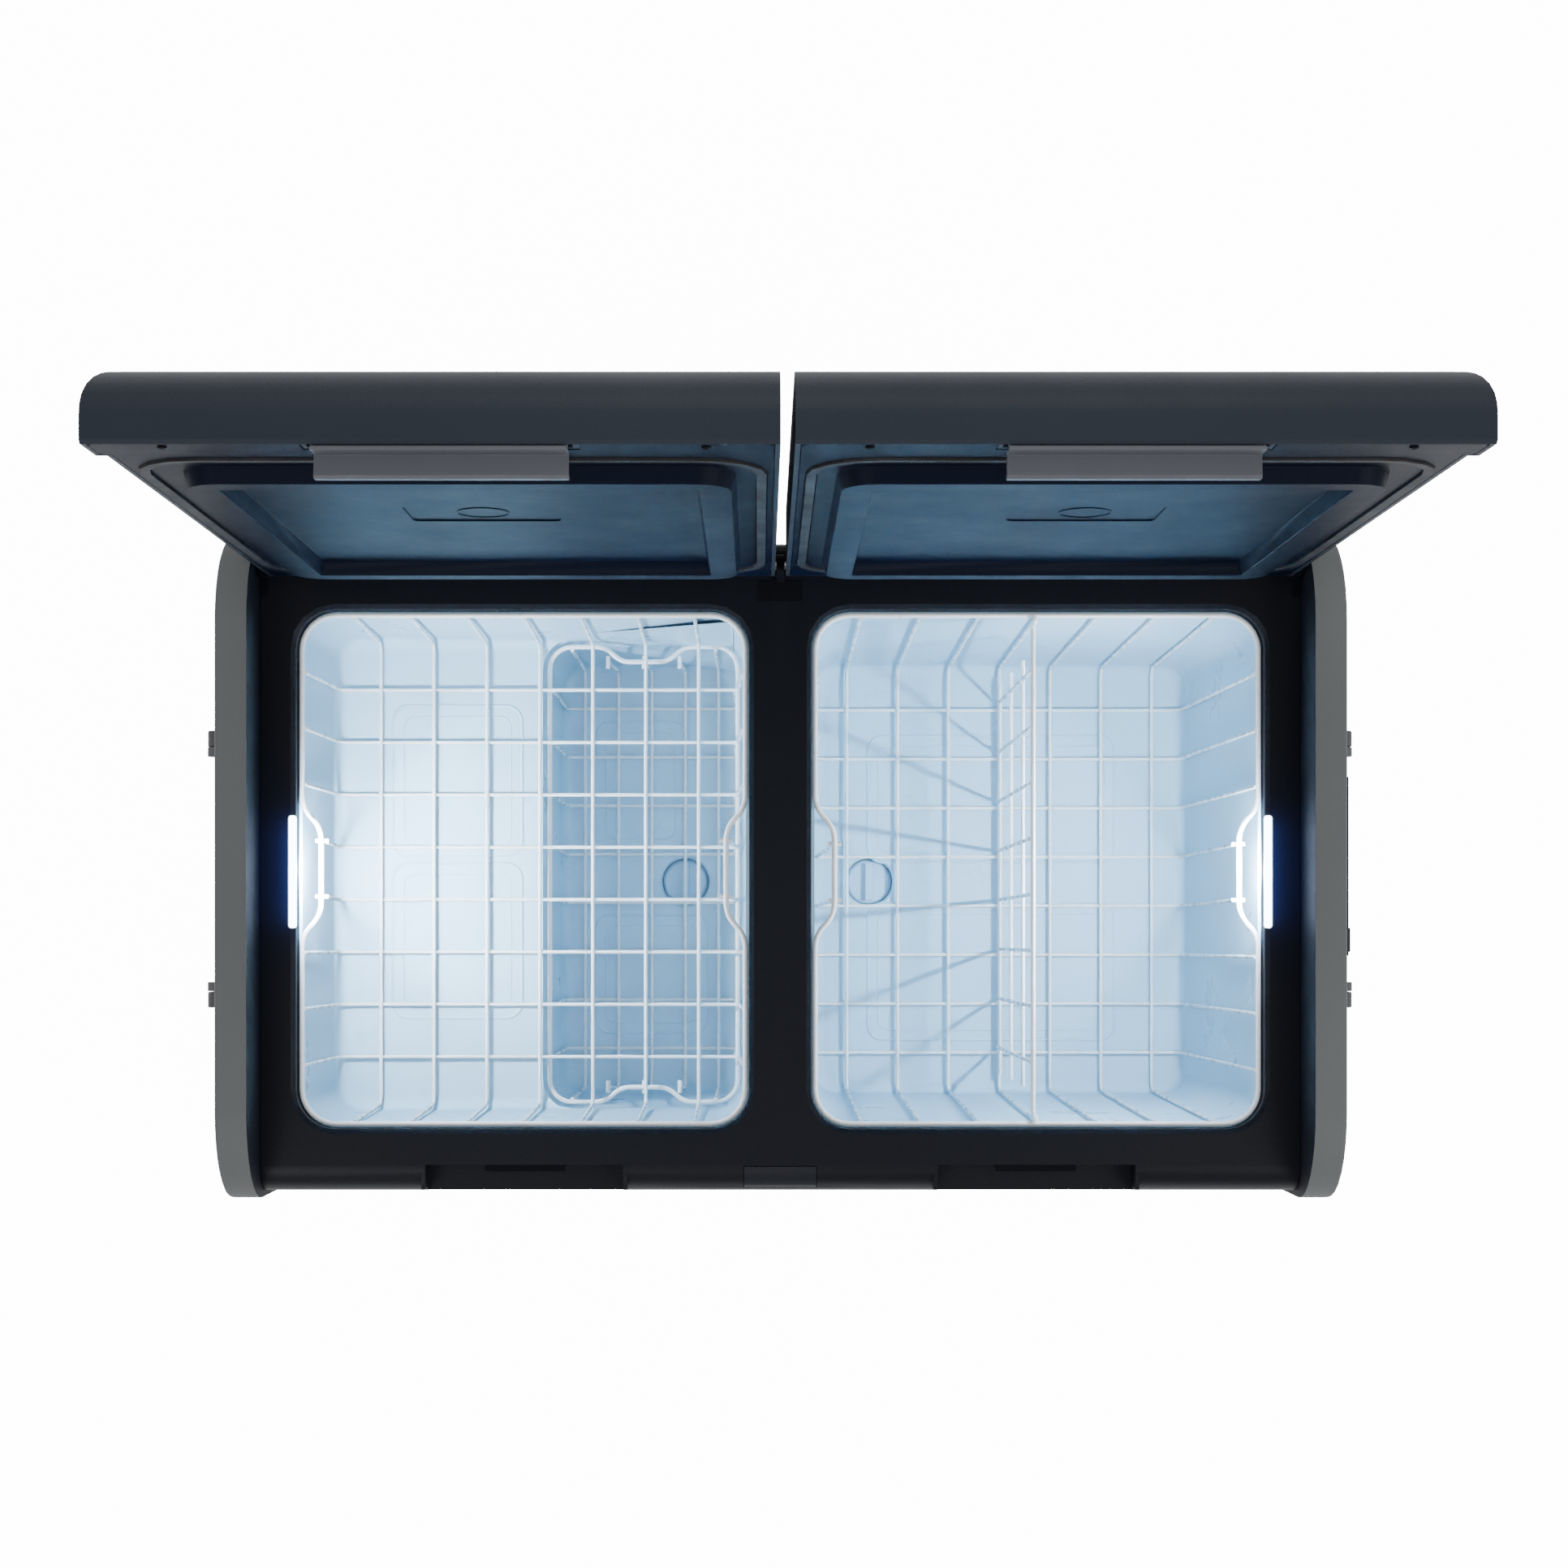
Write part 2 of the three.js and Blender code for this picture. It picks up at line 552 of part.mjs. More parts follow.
function button(y) {
  const { bottom, face } = MODULE;
  return join(box(face - 5, face + 1.2, y - 7, y + 7, bottom + 9, bottom + 19),
    box(face - 6.5, face - 3.5, y - 9, y + 9, bottom + 7, bottom + 21));
}

function usbCover() {
  const { bottom, face } = MODULE;
  return box(face + GAP, face + 4.5, -63, -45, bottom + 37, bottom + 58);
}

// ---- machinery in the bay ----
function compressor() {
  const [x, y] = [-284, -40];
  const shell = lathe([[0, 30], [46, 30], [53, 38], [55, 52], [55, 118], [50, 136], [32, 150], [0, 156]], x, y, 24);
  const plate = box(x - 60, x + 60, y - 66, y + 66, 27, 31);
  const seam = rod('z', 84, 92, x, y, 58, 24);
  const pads = [-1, 1].flatMap((a) => [-1, 1].map((b) => rod('z', BASE_TOP + GAP, 28, x + a * 50, y + b * 56, 8, 10)));
  return join(shell, plate, seam, pads);
}

function condenser() {
  const core = box(-404, -382, -104, 84, 22, 200);
  const gaps = Array.from({ length: 14 }, (_, i) => box(-420, -390, -98 + i * 13, -91 + i * 13, 28, 194));
  return cut(core, gaps);
}

function fanShroud() {
  const frame = cut(box(-376, -351, -70, 50, 40, 160), rod('x', -385, -345, -10, 100, 55, 24));
  const arms = [box(-376, -372, -66, 46, 98, 102), box(-376, -372, -12, -8, 44, 156)];
  return join(frame, arms, rod('x', -376, -370, -10, 100, 17, 16));
}

function fanRotor() {
  const hub = rod('x', -369, -353, -10, 100, 16, 16);
  const blades = Array.from({ length: 7 }, (_, i) => {
    const blade = new THREE.BoxGeometry(14, 2, 38);
    blade.rotateZ(THREE.MathUtils.degToRad(32)).translate(0, 0, 32).rotateX(i * 2 * Math.PI / 7);
    return solidOf(blade.translate(-361, -10, 100));
  });
  return join(hub, blades);
}

function controllerBoard() {
  const plate = box(-385, -300, 120, 230, 24, 27);
  const blocks = [box(-382, -362, 128, 160, 26, 52), box(-350, -330, 130, 150, 26, 46), box(-380, -364, 180, 215, 26, 40)];
  const sink = Array.from({ length: 6 }, (_, i) => box(-350, -308, 168 + i * 9, 171 + i * 9, 30, 60));
  return join(plate, blocks, box(-350, -308, 166, 220, 26, 32), sink);
}

function filterDrier() {
  const profile = [[0, 120], [3, 120], [3, 128], [10, 134], [10, 186], [3, 192], [3, 200], [0, 200]];
  return lathe(profile, -300, 90, 14);
}

function dischargePipe() {
  const path = new THREE.CatmullRomCurve3([
    new THREE.Vector3(-284, -40, 157), new THREE.Vector3(-284, -40, 190), new THREE.Vector3(-300, -20, 214),
    new THREE.Vector3(-340, 30, 222), new THREE.Vector3(-384, 60, 222), new THREE.Vector3(-389, 62, 203),
  ]);
  const ring = new THREE.Shape(arc(0, 0, 3, 0, 315, 7).map(([a, b]) => new THREE.Vector2(a, b)));
  return solidOf(new THREE.ExtrudeGeometry(ring, { extrudePath: path, steps: 24, bevelEnabled: false }));
}

// ---- wire baskets ----
// Moves each edge of an anticlockwise loop inwards by a distance.
function shrink(loop, distance) {
  return loop.map((point, i) => {
    const before = loop[(i + loop.length - 1) % loop.length];
    const after = loop[(i + 1) % loop.length];
    const [ux, uy] = unit(point[0] - before[0], point[1] - before[1]);
    const [vx, vy] = unit(after[0] - point[0], after[1] - point[1]);
    const reach = distance / (1 + ux * vx + uy * vy);
    return [point[0] - (uy + vy) * reach, point[1] + (ux + vx) * reach];
  });
}

function unit(x, y) {
  const length = Math.hypot(x, y);
  return [x / length, y / length];
}

function wireRing(loop, width, z0, z1) {
  return cut(alongZ(loop, z0, z1), alongZ(shrink(loop, width), z0 - 1, z1 + 1));
}

function cornered({ x0, x1, y0, y1 }, r) {
  return roundedRect({ x0, x1, y0, y1, r }, 0, 2);
}

// A rim that steps inwards over the middle of two facing sides, as finger grips.
function grippedRim({ x0, x1, y0, y1 }, r, grip) {
  const { depth, from, to, onEnds } = grip;
  const rise = 9;
  const corners = roundedRect({ x0, x1, y0, y1, r }, 0, 2);
  const right = onEnds ? [] : [[x1, from], [x1 - depth, from + rise], [x1 - depth, to - rise], [x1, to]];
  const left = onEnds ? [] : [[x0, to], [x0 + depth, to - rise], [x0 + depth, from + rise], [x0, from]];
  const back = onEnds ? [[to, y1], [to - rise, y1 - depth], [from + rise, y1 - depth], [from, y1]] : [];
  const front = onEnds ? [[from, y0], [from + rise, y0 + depth], [to - rise, y0 + depth], [to, y0]] : [];
  return [...corners.slice(0, 3), ...right, ...corners.slice(3, 6), ...back, ...corners.slice(6, 9), ...left,
    ...corners.slice(9, 12), ...front];
}

// The U a wire makes down one leaning wall, across the floor and up the other wall.
function cradle([low, high], [topLow, topHigh], z0, top) {
  const [r, s] = [8, 5.8];
  return [
    [topLow, top], [low, z0 + r], [low + r, z0], [high - r, z0], [high, z0 + r], [topHigh, top],
    [topHigh - WIRE, top], [high - WIRE, z0 + s + WIRE], [high - s - WIRE, z0 + WIRE],
    [low + s + WIRE, z0 + WIRE], [low + WIRE, z0 + s + WIRE], [topLow + WIRE, top],
  ];
}

function basket({ rim, foot, mouth, floor, rimTop, acrossAt, alongAt, grip }) {
  const wallTop = rimTop - 1.5;
  const inward = grip.depth + 1;
  const held = (place, ends) => ends === grip.onEnds && place > grip.from - 4 && place < grip.to + 4;
  const across = acrossAt.map((y) => {
    const ends = held(y, false) ? [rim.x0 + inward, rim.x1 - inward] : [mouth.x0, mouth.x1];
    return alongY(cradle([foot.x0, foot.x1], ends, floor, wallTop), y - WIRE / 2, y + WIRE / 2);
  });
  const along = alongAt.map((x) => {
    const ends = held(x, true) ? [rim.y0 + inward, rim.y1 - inward] : [mouth.y0, mouth.y1];
    return alongX(cradle([foot.y0, foot.y1], ends, floor + 1.8, wallTop), x - WIRE / 2, x + WIRE / 2);
  });
  const lip = wireRing(grippedRim(rim, 30, grip), RIM, rimTop - RIM, rimTop);
  return join(lip, across, along);
}

function spread(first, pitch, count) {
  return Array.from({ length: count }, (_, i) => first + i * pitch);
}

function upperBasket() {
  return basket({
    rim: { x0: -361.6, x1: -24.2, y0: -194.2, y1: 192.2 }, mouth: { x0: -359, x1: -26.5, y0: -192, y1: 190 },
    foot: { x0: -354.6, x1: -30.9, y0: -187.6, y1: 185.6 }, floor: 285, rimTop: RIM_TOP,
    acrossAt: spread(-148, 42.2, 8), alongAt: spread(-320, 42.6, 7),
    grip: { depth: 14.5, from: -50, to: 45, onEnds: false },
  });
}

function wellBasket() {
  const walls = { x0: -184, x1: -34, y0: -184, y1: 182 };
  return basket({
    rim: { x0: -187, x1: -31, y0: -187, y1: 185 }, mouth: walls, foot: walls, floor: 129, rimTop: 281,
    acrossAt: spread(-148, 42.2, 8), alongAt: spread(-167, 29, 5),
    grip: { depth: 12, from: -141, to: -76, onEnds: true },
  });
}

function deepBasket() {
  return basket({
    rim: { x0: 24.2, x1: 361.6, y0: -194.2, y1: 192.2 }, mouth: { x0: 26.5, x1: 359, y0: -192, y1: 190 },
    foot: { x0: 32.6, x1: 352.4, y0: -186.2, y1: 184.2 }, floor: 129, rimTop: RIM_TOP,
    acrossAt: spread(-152, 42.6, 8), alongAt: spread(60.5, 44.2, 7),
    grip: { depth: 14.5, from: -50, to: 45, onEnds: false },
  });
}

function basketDivider() {
  const x = 191.5;
  const low = 136;
  const over = RIM_TOP + 0.3;
  const cross = spread(-147, 42.6, 8).map((y) => box(x - 1.5, x + 1.5, y - 1.5, y + 1.5, low, 402));
  const levels = [low, 225, 314].map((z) => box(x + 0.4, x + 3.4, -170, 168, z, z + WIRE));
  const topWire = box(x - 2, x + 2, -188.2, 186.2, 400, 404);
  const hooks = [
    box(x - 2, x + 2, -188.2, -184.4, 400, over + RIM), box(x - 2, x + 2, -192.2, -184.4, over, over + RIM),
    box(x - 2, x + 2, 182.4, 186.2, 400, over + RIM), box(x - 2, x + 2, 182.4, 190.2, over, over + RIM),
  ];
  return join(cross, levels, topWire, hooks);
}

// ---- assembly ----
const SIDES = [['left', -1], ['right', 1]];
const pieces = [];

function add(name, solid, kind) {
  pieces.push({ name, solid, kind, turned: false });
}

function addOpen(name, solid, kind) {
  pieces.push({ name, solid, kind, turned: true });
}

add('base_pan', basePan(), 'slate');
for (const [word, side] of SIDES) {
  add(`foot_front_${word}`, foot(side, -1), 'rubber');
  add(`foot_back_${word}`, foot(side, 1), 'rubber');
}
add('front_panel', frontPanel(), 'slate');
add('back_panel', backPanel(), 'slate');
add('top_frame', topFrame(), 'frameBlack');
add('centre_cap', centreCap(), 'gloss');
add('insulation', insulation(), 'foam');
for (const [word, side] of SIDES) {
  add(`end_panel_${word}`, endPanel(side), 'panelGrey');
  add(`liner_${word}`, liner(side), 'liner');
  add(`evaporator_${word}`, evaporator(side), 'aluminium');
  add(`led_lens_${word}`, ledLens(side), 'lens');
  add(`drain_plug_${word}`, drainPlug(side), 'frameBlack');
  add(`latch_strike_${word}`, latchStrike(side), 'steel');
  add(`hinge_bracket_${word}`, endHinge(side), 'darkSteel');
  add(`hinge_pin_${word}`, rod('x', side * 368, side * 386.8, HINGE_Y, HINGE_Z, 3, 14), 'steel');
  add(`handle_${word}`, handle(side), 'slate');
  addOpen(`lid_cover_${word}`, lidCover(side), 'slate');
  addOpen(`lid_liner_${word}`, lidLiner(side), 'frameBlack');
  addOpen(`lid_foam_${word}`, lidFoam(side), 'foam');
  addOpen(`lid_gasket_${word}`, gasketRing(side, 0, FRAME_TOP + GAP, LID.bottom + 1.2), 'rubber');
  addOpen(`latch_${word}`, latch(side), 'slate');
}
add('hinge_bracket_centre', centreHinge(), 'darkSteel');
add('hinge_pin_centre', rod('x', -22, 22, HINGE_Y, HINGE_Z, 3, 14), 'steel');
add('vent_grille', ventGrille(), 'frameBlack');
add('power_inlet', powerInlet(), 'frameBlack');
add('display_bezel', displayBezel(), 'frameBlack');
add('display_window', displayWindow(), 'gloss');
add('display_board', box(404, 406, -40, 58, MODULE.bottom + 24, MODULE.top - 5), 'board');
add('button_power', button(BUTTON_Y[0]), 'panelGrey');
add('button_down', button(BUTTON_Y[1]), 'panelGrey');
add('button_up', button(BUTTON_Y[2]), 'panelGrey');
add('usb_cover', usbCover(), 'rubber');
add('compressor', compressor(), 'darkSteel');
add('condenser', condenser(), 'aluminium');
add('fan_shroud', fanShroud(), 'frameBlack');
add('fan_rotor', fanRotor(), 'frameBlack');
add('controller_board', controllerBoard(), 'board');
add('filter_drier', filterDrier(), 'copper');
add('discharge_pipe', dischargePipe(), 'copper');
add('basket_left_upper', upperBasket(), 'wire');
add('basket_left_lower', wellBasket(), 'wire');
add('basket_right', deepBasket(), 'wire');
add('basket_divider', basketDivider(), 'wire');

// Turns a closed lid's piece a quarter turn about the hinge line, to where it stands open.
const OPEN_TURN = new THREE.Matrix4().makeTranslation(0, HINGE_Y, HINGE_Z)
  .multiply(new THREE.Matrix4().makeRotationX(-Math.PI / 2))
  .multiply(new THREE.Matrix4().makeTranslation(0, -HINGE_Y, -HINGE_Z));

function meshOf({ name, solid, kind, turned }) {
  const result = solid.getMesh();
  const geometry = new THREE.BufferGeometry();
  geometry.setAttribute('position', new THREE.BufferAttribute(new Float32Array(result.vertProperties), 3));
  geometry.setIndex(new THREE.BufferAttribute(new Uint32Array(result.triVerts), 1));
  if (turned) geometry.applyMatrix4(OPEN_TURN);
  geometry.translate(0, -ORIGIN_Y, 0);
  const mesh = new THREE.Mesh(geometry, material(kind));
  mesh.name = name;
  return mesh;
}

const fridge = new THREE.Group();
fridge.name = 'compressor_cooler';
for (const piece of pieces) fridge.add(meshOf(piece));

export default fridge;
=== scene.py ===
import bpy
import bmesh
import json
import math
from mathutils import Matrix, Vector


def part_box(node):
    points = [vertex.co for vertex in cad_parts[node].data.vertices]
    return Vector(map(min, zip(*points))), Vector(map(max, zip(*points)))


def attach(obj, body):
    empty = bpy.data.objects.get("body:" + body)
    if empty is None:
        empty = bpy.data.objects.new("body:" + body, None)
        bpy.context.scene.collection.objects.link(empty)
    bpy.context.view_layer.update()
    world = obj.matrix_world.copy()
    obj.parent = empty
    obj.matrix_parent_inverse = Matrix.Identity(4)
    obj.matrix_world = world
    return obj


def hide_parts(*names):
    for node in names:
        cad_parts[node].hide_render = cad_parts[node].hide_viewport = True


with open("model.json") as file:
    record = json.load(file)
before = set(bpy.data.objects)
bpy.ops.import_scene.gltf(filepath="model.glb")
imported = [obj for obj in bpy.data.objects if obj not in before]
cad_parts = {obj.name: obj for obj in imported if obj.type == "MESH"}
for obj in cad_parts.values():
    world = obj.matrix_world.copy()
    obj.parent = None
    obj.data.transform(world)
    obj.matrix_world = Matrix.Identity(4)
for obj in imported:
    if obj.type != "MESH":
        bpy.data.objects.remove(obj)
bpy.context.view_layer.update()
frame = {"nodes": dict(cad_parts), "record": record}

MM = 0.001
SIDES = (("left", -1), ("right", 1))
SLOT_OF = {s["node"]: s["material_slot"] for s in frame["record"]["subparts"]}
BODY_OF = {n: b for b, nodes in frame["record"]["behaviour"]["bodies"].items() for n in nodes}
panel_low, panel_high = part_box("end_panel_left")
MID_Y = (panel_low.y + panel_high.y) / 2


# ---------------------------------------------------------------- materials

# Painted shade: near-black colours put on faces that lie in shadow (latch recesses, inner end-panel cheeks,
# liner collar).
DEEP_SHADE = (0.004, 0.005, 0.009)
LINER_SHADE = (0.004, 0.005, 0.010)
GRAIN_SCALE, GRAIN_DEPTH = 900, 0.00012


def new_material(name):
    material = bpy.data.materials.new(name)
    material.use_nodes = True
    tree = material.node_tree
    return material, tree, tree.nodes["Principled BSDF"]


def add(tree, kind, **settings):
    node = tree.nodes.new(kind)
    for key, value in settings.items():
        if key in node.inputs:
            node.inputs[key].default_value = value
        else:
            setattr(node, key, value)
    return node


def noise(tree, scale, detail=3.0, roughness=0.5, stretch=None):
    coords = add(tree, "ShaderNodeTexCoord")
    source = coords.outputs["Object"]
    if stretch:
        mapping = add(tree, "ShaderNodeMapping", Scale=stretch)
        tree.links.new(source, mapping.inputs["Vector"])
        source = mapping.outputs["Vector"]
    node = add(tree, "ShaderNodeTexNoise", Scale=scale, Detail=detail, Roughness=roughness)
    tree.links.new(source, node.inputs["Vector"])
    return node.outputs["Fac"]


def pebble(tree, scale):
    coords = add(tree, "ShaderNodeTexCoord")
    node = add(tree, "ShaderNodeTexVoronoi", feature="SMOOTH_F1", Scale=scale, Smoothness=0.6)
    tree.links.new(coords.outputs["Object"], node.inputs["Vector"])
    return node.outputs["Distance"]


def spread(tree, value, low, high, to_low, to_high):
    node = add(tree, "ShaderNodeMapRange")
    for key, number in (("From Min", low), ("From Max", high), ("To Min", to_low), ("To Max", to_high)):
        node.inputs[key].default_value = number
    tree.links.new(value, node.inputs["Value"])
    return node.outputs["Result"]


def blend_colours(tree, factor, first, second):
    node = add(tree, "ShaderNodeMix", data_type="RGBA")
    for socket, colour in ((node.inputs[6], first), (node.inputs[7], second)):
        if isinstance(colour, tuple):
            socket.default_value = (*colour, 1)
        else:
            tree.links.new(colour, socket)
    tree.links.new(factor, node.inputs[0])
    return node.outputs[2]


def bump(tree, shader, height, strength, distance, before=None):
    node = add(tree, "ShaderNodeBump", Strength=strength, Distance=distance)
    tree.links.new(height, node.inputs["Height"])
    if before:
        tree.links.new(before.outputs["Normal"], node.inputs["Normal"])
    tree.links.new(node.outputs["Normal"], shader.inputs["Normal"])
    return node


def worn_edge(tree):
    """Patches along the rounded edges, which carry the edge attribute."""
    edge = add(tree, "ShaderNodeAttribute", attribute_name="edge")
    patches = spread(tree, noise(tree, 38, 6, 0.65), 0.46, 0.66, 0.0, 1.0)
    product = add(tree, "ShaderNodeMath", operation="MULTIPLY")
    tree.links.new(edge.outputs["Fac"], product.inputs[0])
    tree.links.new(patches, product.inputs[1])
    return product.outputs[0]


def shaded(tree, tone, dark):
    """Painted shade: the dark colour on the faces marked with the shade attribute, and the given tone
    elsewhere.
    """
    mark = add(tree, "ShaderNodeAttribute", attribute_name="shade")
    return blend_colours(tree, mark.outputs["Fac"], tone, dark)


def moulded_plastic(name, colour, roughness, worn=0.35, specular=0.5):
    """Moulded plastic: a faintly uneven tone, painted shade on faces marked with the shade attribute, fine
    spark-eroded grain, and edges rubbed a little paler.
    """
    material, tree, shader = new_material(name)
    darker = tuple(c * 0.94 for c in colour)
    lighter = tuple(min(1, c * 1.06 + 0.0006) for c in colour)
    tone = blend_colours(tree, spread(tree, noise(tree, 4, 3, 0.5), 0.3, 0.7, 0, 1), darker, lighter)
    # painted shade: near-black where the shade attribute marks faces lying in shadow
    tone = shaded(tree, tone, DEEP_SHADE)
    rubbed = tuple(min(1, c * 1.7 + 0.03) for c in colour)
    scaled = spread(tree, worn_edge(tree), 0, 1, 0, worn)
    tree.links.new(blend_colours(tree, scaled, tone, rubbed), shader.inputs["Base Color"])
    tree.links.new(spread(tree, noise(tree, 14, 5, 0.7), 0.3, 0.7, roughness - 0.02, roughness + 0.04),
                   shader.inputs["Roughness"])
    shader.inputs["Specular IOR Level"].default_value = specular
    first = bump(tree, shader, pebble(tree, GRAIN_SCALE), 0.5, GRAIN_DEPTH)
    bump(tree, shader, noise(tree, 60, 3, 0.5), 0.2, 0.0002, first)
    return material


def gloss_plastic(name, colour, roughness, coat):
    """Smooth clear-coated plastic for the display window."""
    material, tree, shader = new_material(name)
    tone = blend_colours(tree, noise(tree, 9, 3, 0.5), tuple(c * 0.9 for c in colour), colour)
    tree.links.new(tone, shader.inputs["Base Color"])
    tree.links.new(spread(tree, noise(tree, 25, 5, 0.7), 0.35, 0.7, roughness, roughness + 0.1),
                   shader.inputs["Roughness"])
    shader.inputs["Coat Weight"].default_value = coat
    shader.inputs["Coat Roughness"].default_value = 0.08
    bump(tree, shader, noise(tree, 35, 2, 0.5), 0.12, 0.0003)
    return material


def liner_plastic(name, colour):
    """Vacuum-formed liner sheet: pale, slightly translucent, with a soft orange-peel gloss, and painted shade
    on faces marked with the shade attribute.
    """
    material, tree, shader = new_material(name)
    tone = blend_colours(tree, noise(tree, 4, 3, 0.5), tuple(c * 0.95 for c in colour), colour)
    # painted shade: near-black on the collar faces marked with the shade attribute
    tree.links.new(shaded(tree, tone, LINER_SHADE), shader.inputs["Base Color"])
    tree.links.new(spread(tree, noise(tree, 12, 5, 0.65), 0.3, 0.7, 0.26, 0.34), shader.inputs["Roughness"])
    shader.inputs["Subsurface Weight"].default_value = 0.08
    shader.inputs["Subsurface Radius"].default_value = (0.004, 0.006, 0.008)
    shader.inputs["Coat Weight"].default_value = 0.25
    shader.inputs["Coat Roughness"].default_value = 0.2
    first = bump(tree, shader, noise(tree, 260, 2, 0.5), 0.2, 0.00008)
    bump(tree, shader, noise(tree, 16, 2, 0.5), 0.1, 0.0004, first)
    return material


def coated_wire(name, colour):
    """Steel wire dipped in white epoxy: thick glossy skin with small runs."""
    material, tree, shader = new_material(name)
    tone = blend_colours(tree, noise(tree, 30, 4, 0.6), tuple(c * 0.9 for c in colour), colour)
    tree.links.new(tone, shader.inputs["Base Color"])
    tree.links.new(spread(tree, noise(tree, 70, 4, 0.6), 0.3, 0.7, 0.2, 0.38), shader.inputs["Roughness"])
    shader.inputs["Coat Weight"].default_value = 0.5
    shader.inputs["Coat Roughness"].default_value = 0.12
    bump(tree, shader, noise(tree, 420, 3, 0.6), 0.35, 0.0002)
    return material


def metal(name, colour, roughness, stretch, grain=180):
    """Bare metal, with brushed streaks where the grain is stretched."""
    material, tree, shader = new_material(name)
    shader.inputs["Metallic"].default_value = 1.0
    streaks = noise(tree, grain, 4, 0.6, stretch)
    tone = blend_colours(tree, streaks, tuple(c * 0.75 for c in colour), colour)
    tree.links.new(tone, shader.inputs["Base Color"])
    tree.links.new(spread(tree, streaks, 0.3, 0.7, roughness - 0.08, roughness + 0.12),
                   shader.inputs["Roughness"])
    bump(tree, shader, streaks, 0.2, 0.0001)
    return material


def painted_steel(name, colour, roughness, specular=0.5):
    """Painted steel with a few small pale chips."""
    material, tree, shader = new_material(name)
    shader.inputs["Specular IOR Level"].default_value = specular
    chips = spread(tree, noise(tree, 90, 6, 0.7), 0.66, 0.72, 0, 1)
    tone = blend_colours(tree, chips, colour, tuple(min(1, c * 3 + 0.05) for c in colour))
    tree.links.new(tone, shader.inputs["Base Color"])
    tree.links.new(spread(tree, noise(tree, 30, 5, 0.6), 0.3, 0.7, roughness - 0.08, roughness + 0.1),
                   shader.inputs["Roughness"])
    bump(tree, shader, noise(tree, 500, 2, 0.5), 0.3, 0.00012)
    return material


def rubber(name, colour, roughness=0.75):
    """Dull rubber with a little dust."""
    material, tree, shader = new_material(name)
    dusty = blend_colours(tree, spread(tree, noise(tree, 18, 6, 0.7), 0.45, 0.75, 0, 1), colour,
                          tuple(c * 1.6 + 0.012 for c in colour))
    tree.links.new(dusty, shader.inputs["Base Color"])
    tree.links.new(spread(tree, noise(tree, 25, 4, 0.6), 0.3, 0.7, roughness - 0.1, roughness + 0.1),
                   shader.inputs["Roughness"])
    bump(tree, shader, noise(tree, 700, 2, 0.5), 0.35, 0.0001)
    return material


def foam(name, colour):
    material, tree, shader = new_material(name)
    cells = pebble(tree, 260)
    tone = blend_colours(tree, cells, tuple(c * 0.7 for c in colour), colour)
    tree.links.new(tone, shader.inputs["Base Color"])
    shader.inputs["Roughness"].default_value = 0.9
    bump(tree, shader, cells, 0.8, 0.0008)
    return material


def glowing(name, colour, strength):
    material, tree, shader = new_material(name)
    shader.inputs["Base Color"].default_value = (*colour, 1)
    glow = blend_colours(tree, noise(tree, 90, 2, 0.5), tuple(c * 0.9 for c in colour), colour)
    tree.links.new(glow, shader.inputs["Emission Color"])
    shader.inputs["Emission Strength"].default_value = strength
    tree.links.new(spread(tree, noise(tree, 120, 2, 0.5), 0.3, 0.7, 0.2, 0.35), shader.inputs["Roughness"])
    bump(tree, shader, noise(tree, 300, 2, 0.5), 0.1, 0.0001)
    return material


def board_material(name):
    material, tree, shader = new_material(name)
    tracks = spread(tree, noise(tree, 120, 2, 0.5, (1, 6, 6)), 0.5, 0.53, 0, 1)
    tone = blend_colours(tree, tracks, (0.01, 0.09, 0.045), (0.03, 0.17, 0.09))
    tree.links.new(tone, shader.inputs["Base Color"])
    tree.links.new(spread(tree, tracks, 0, 1, 0.5, 0.3), shader.inputs["Roughness"])
    bump(tree, shader, tracks, 0.3, 0.0001)
    return material


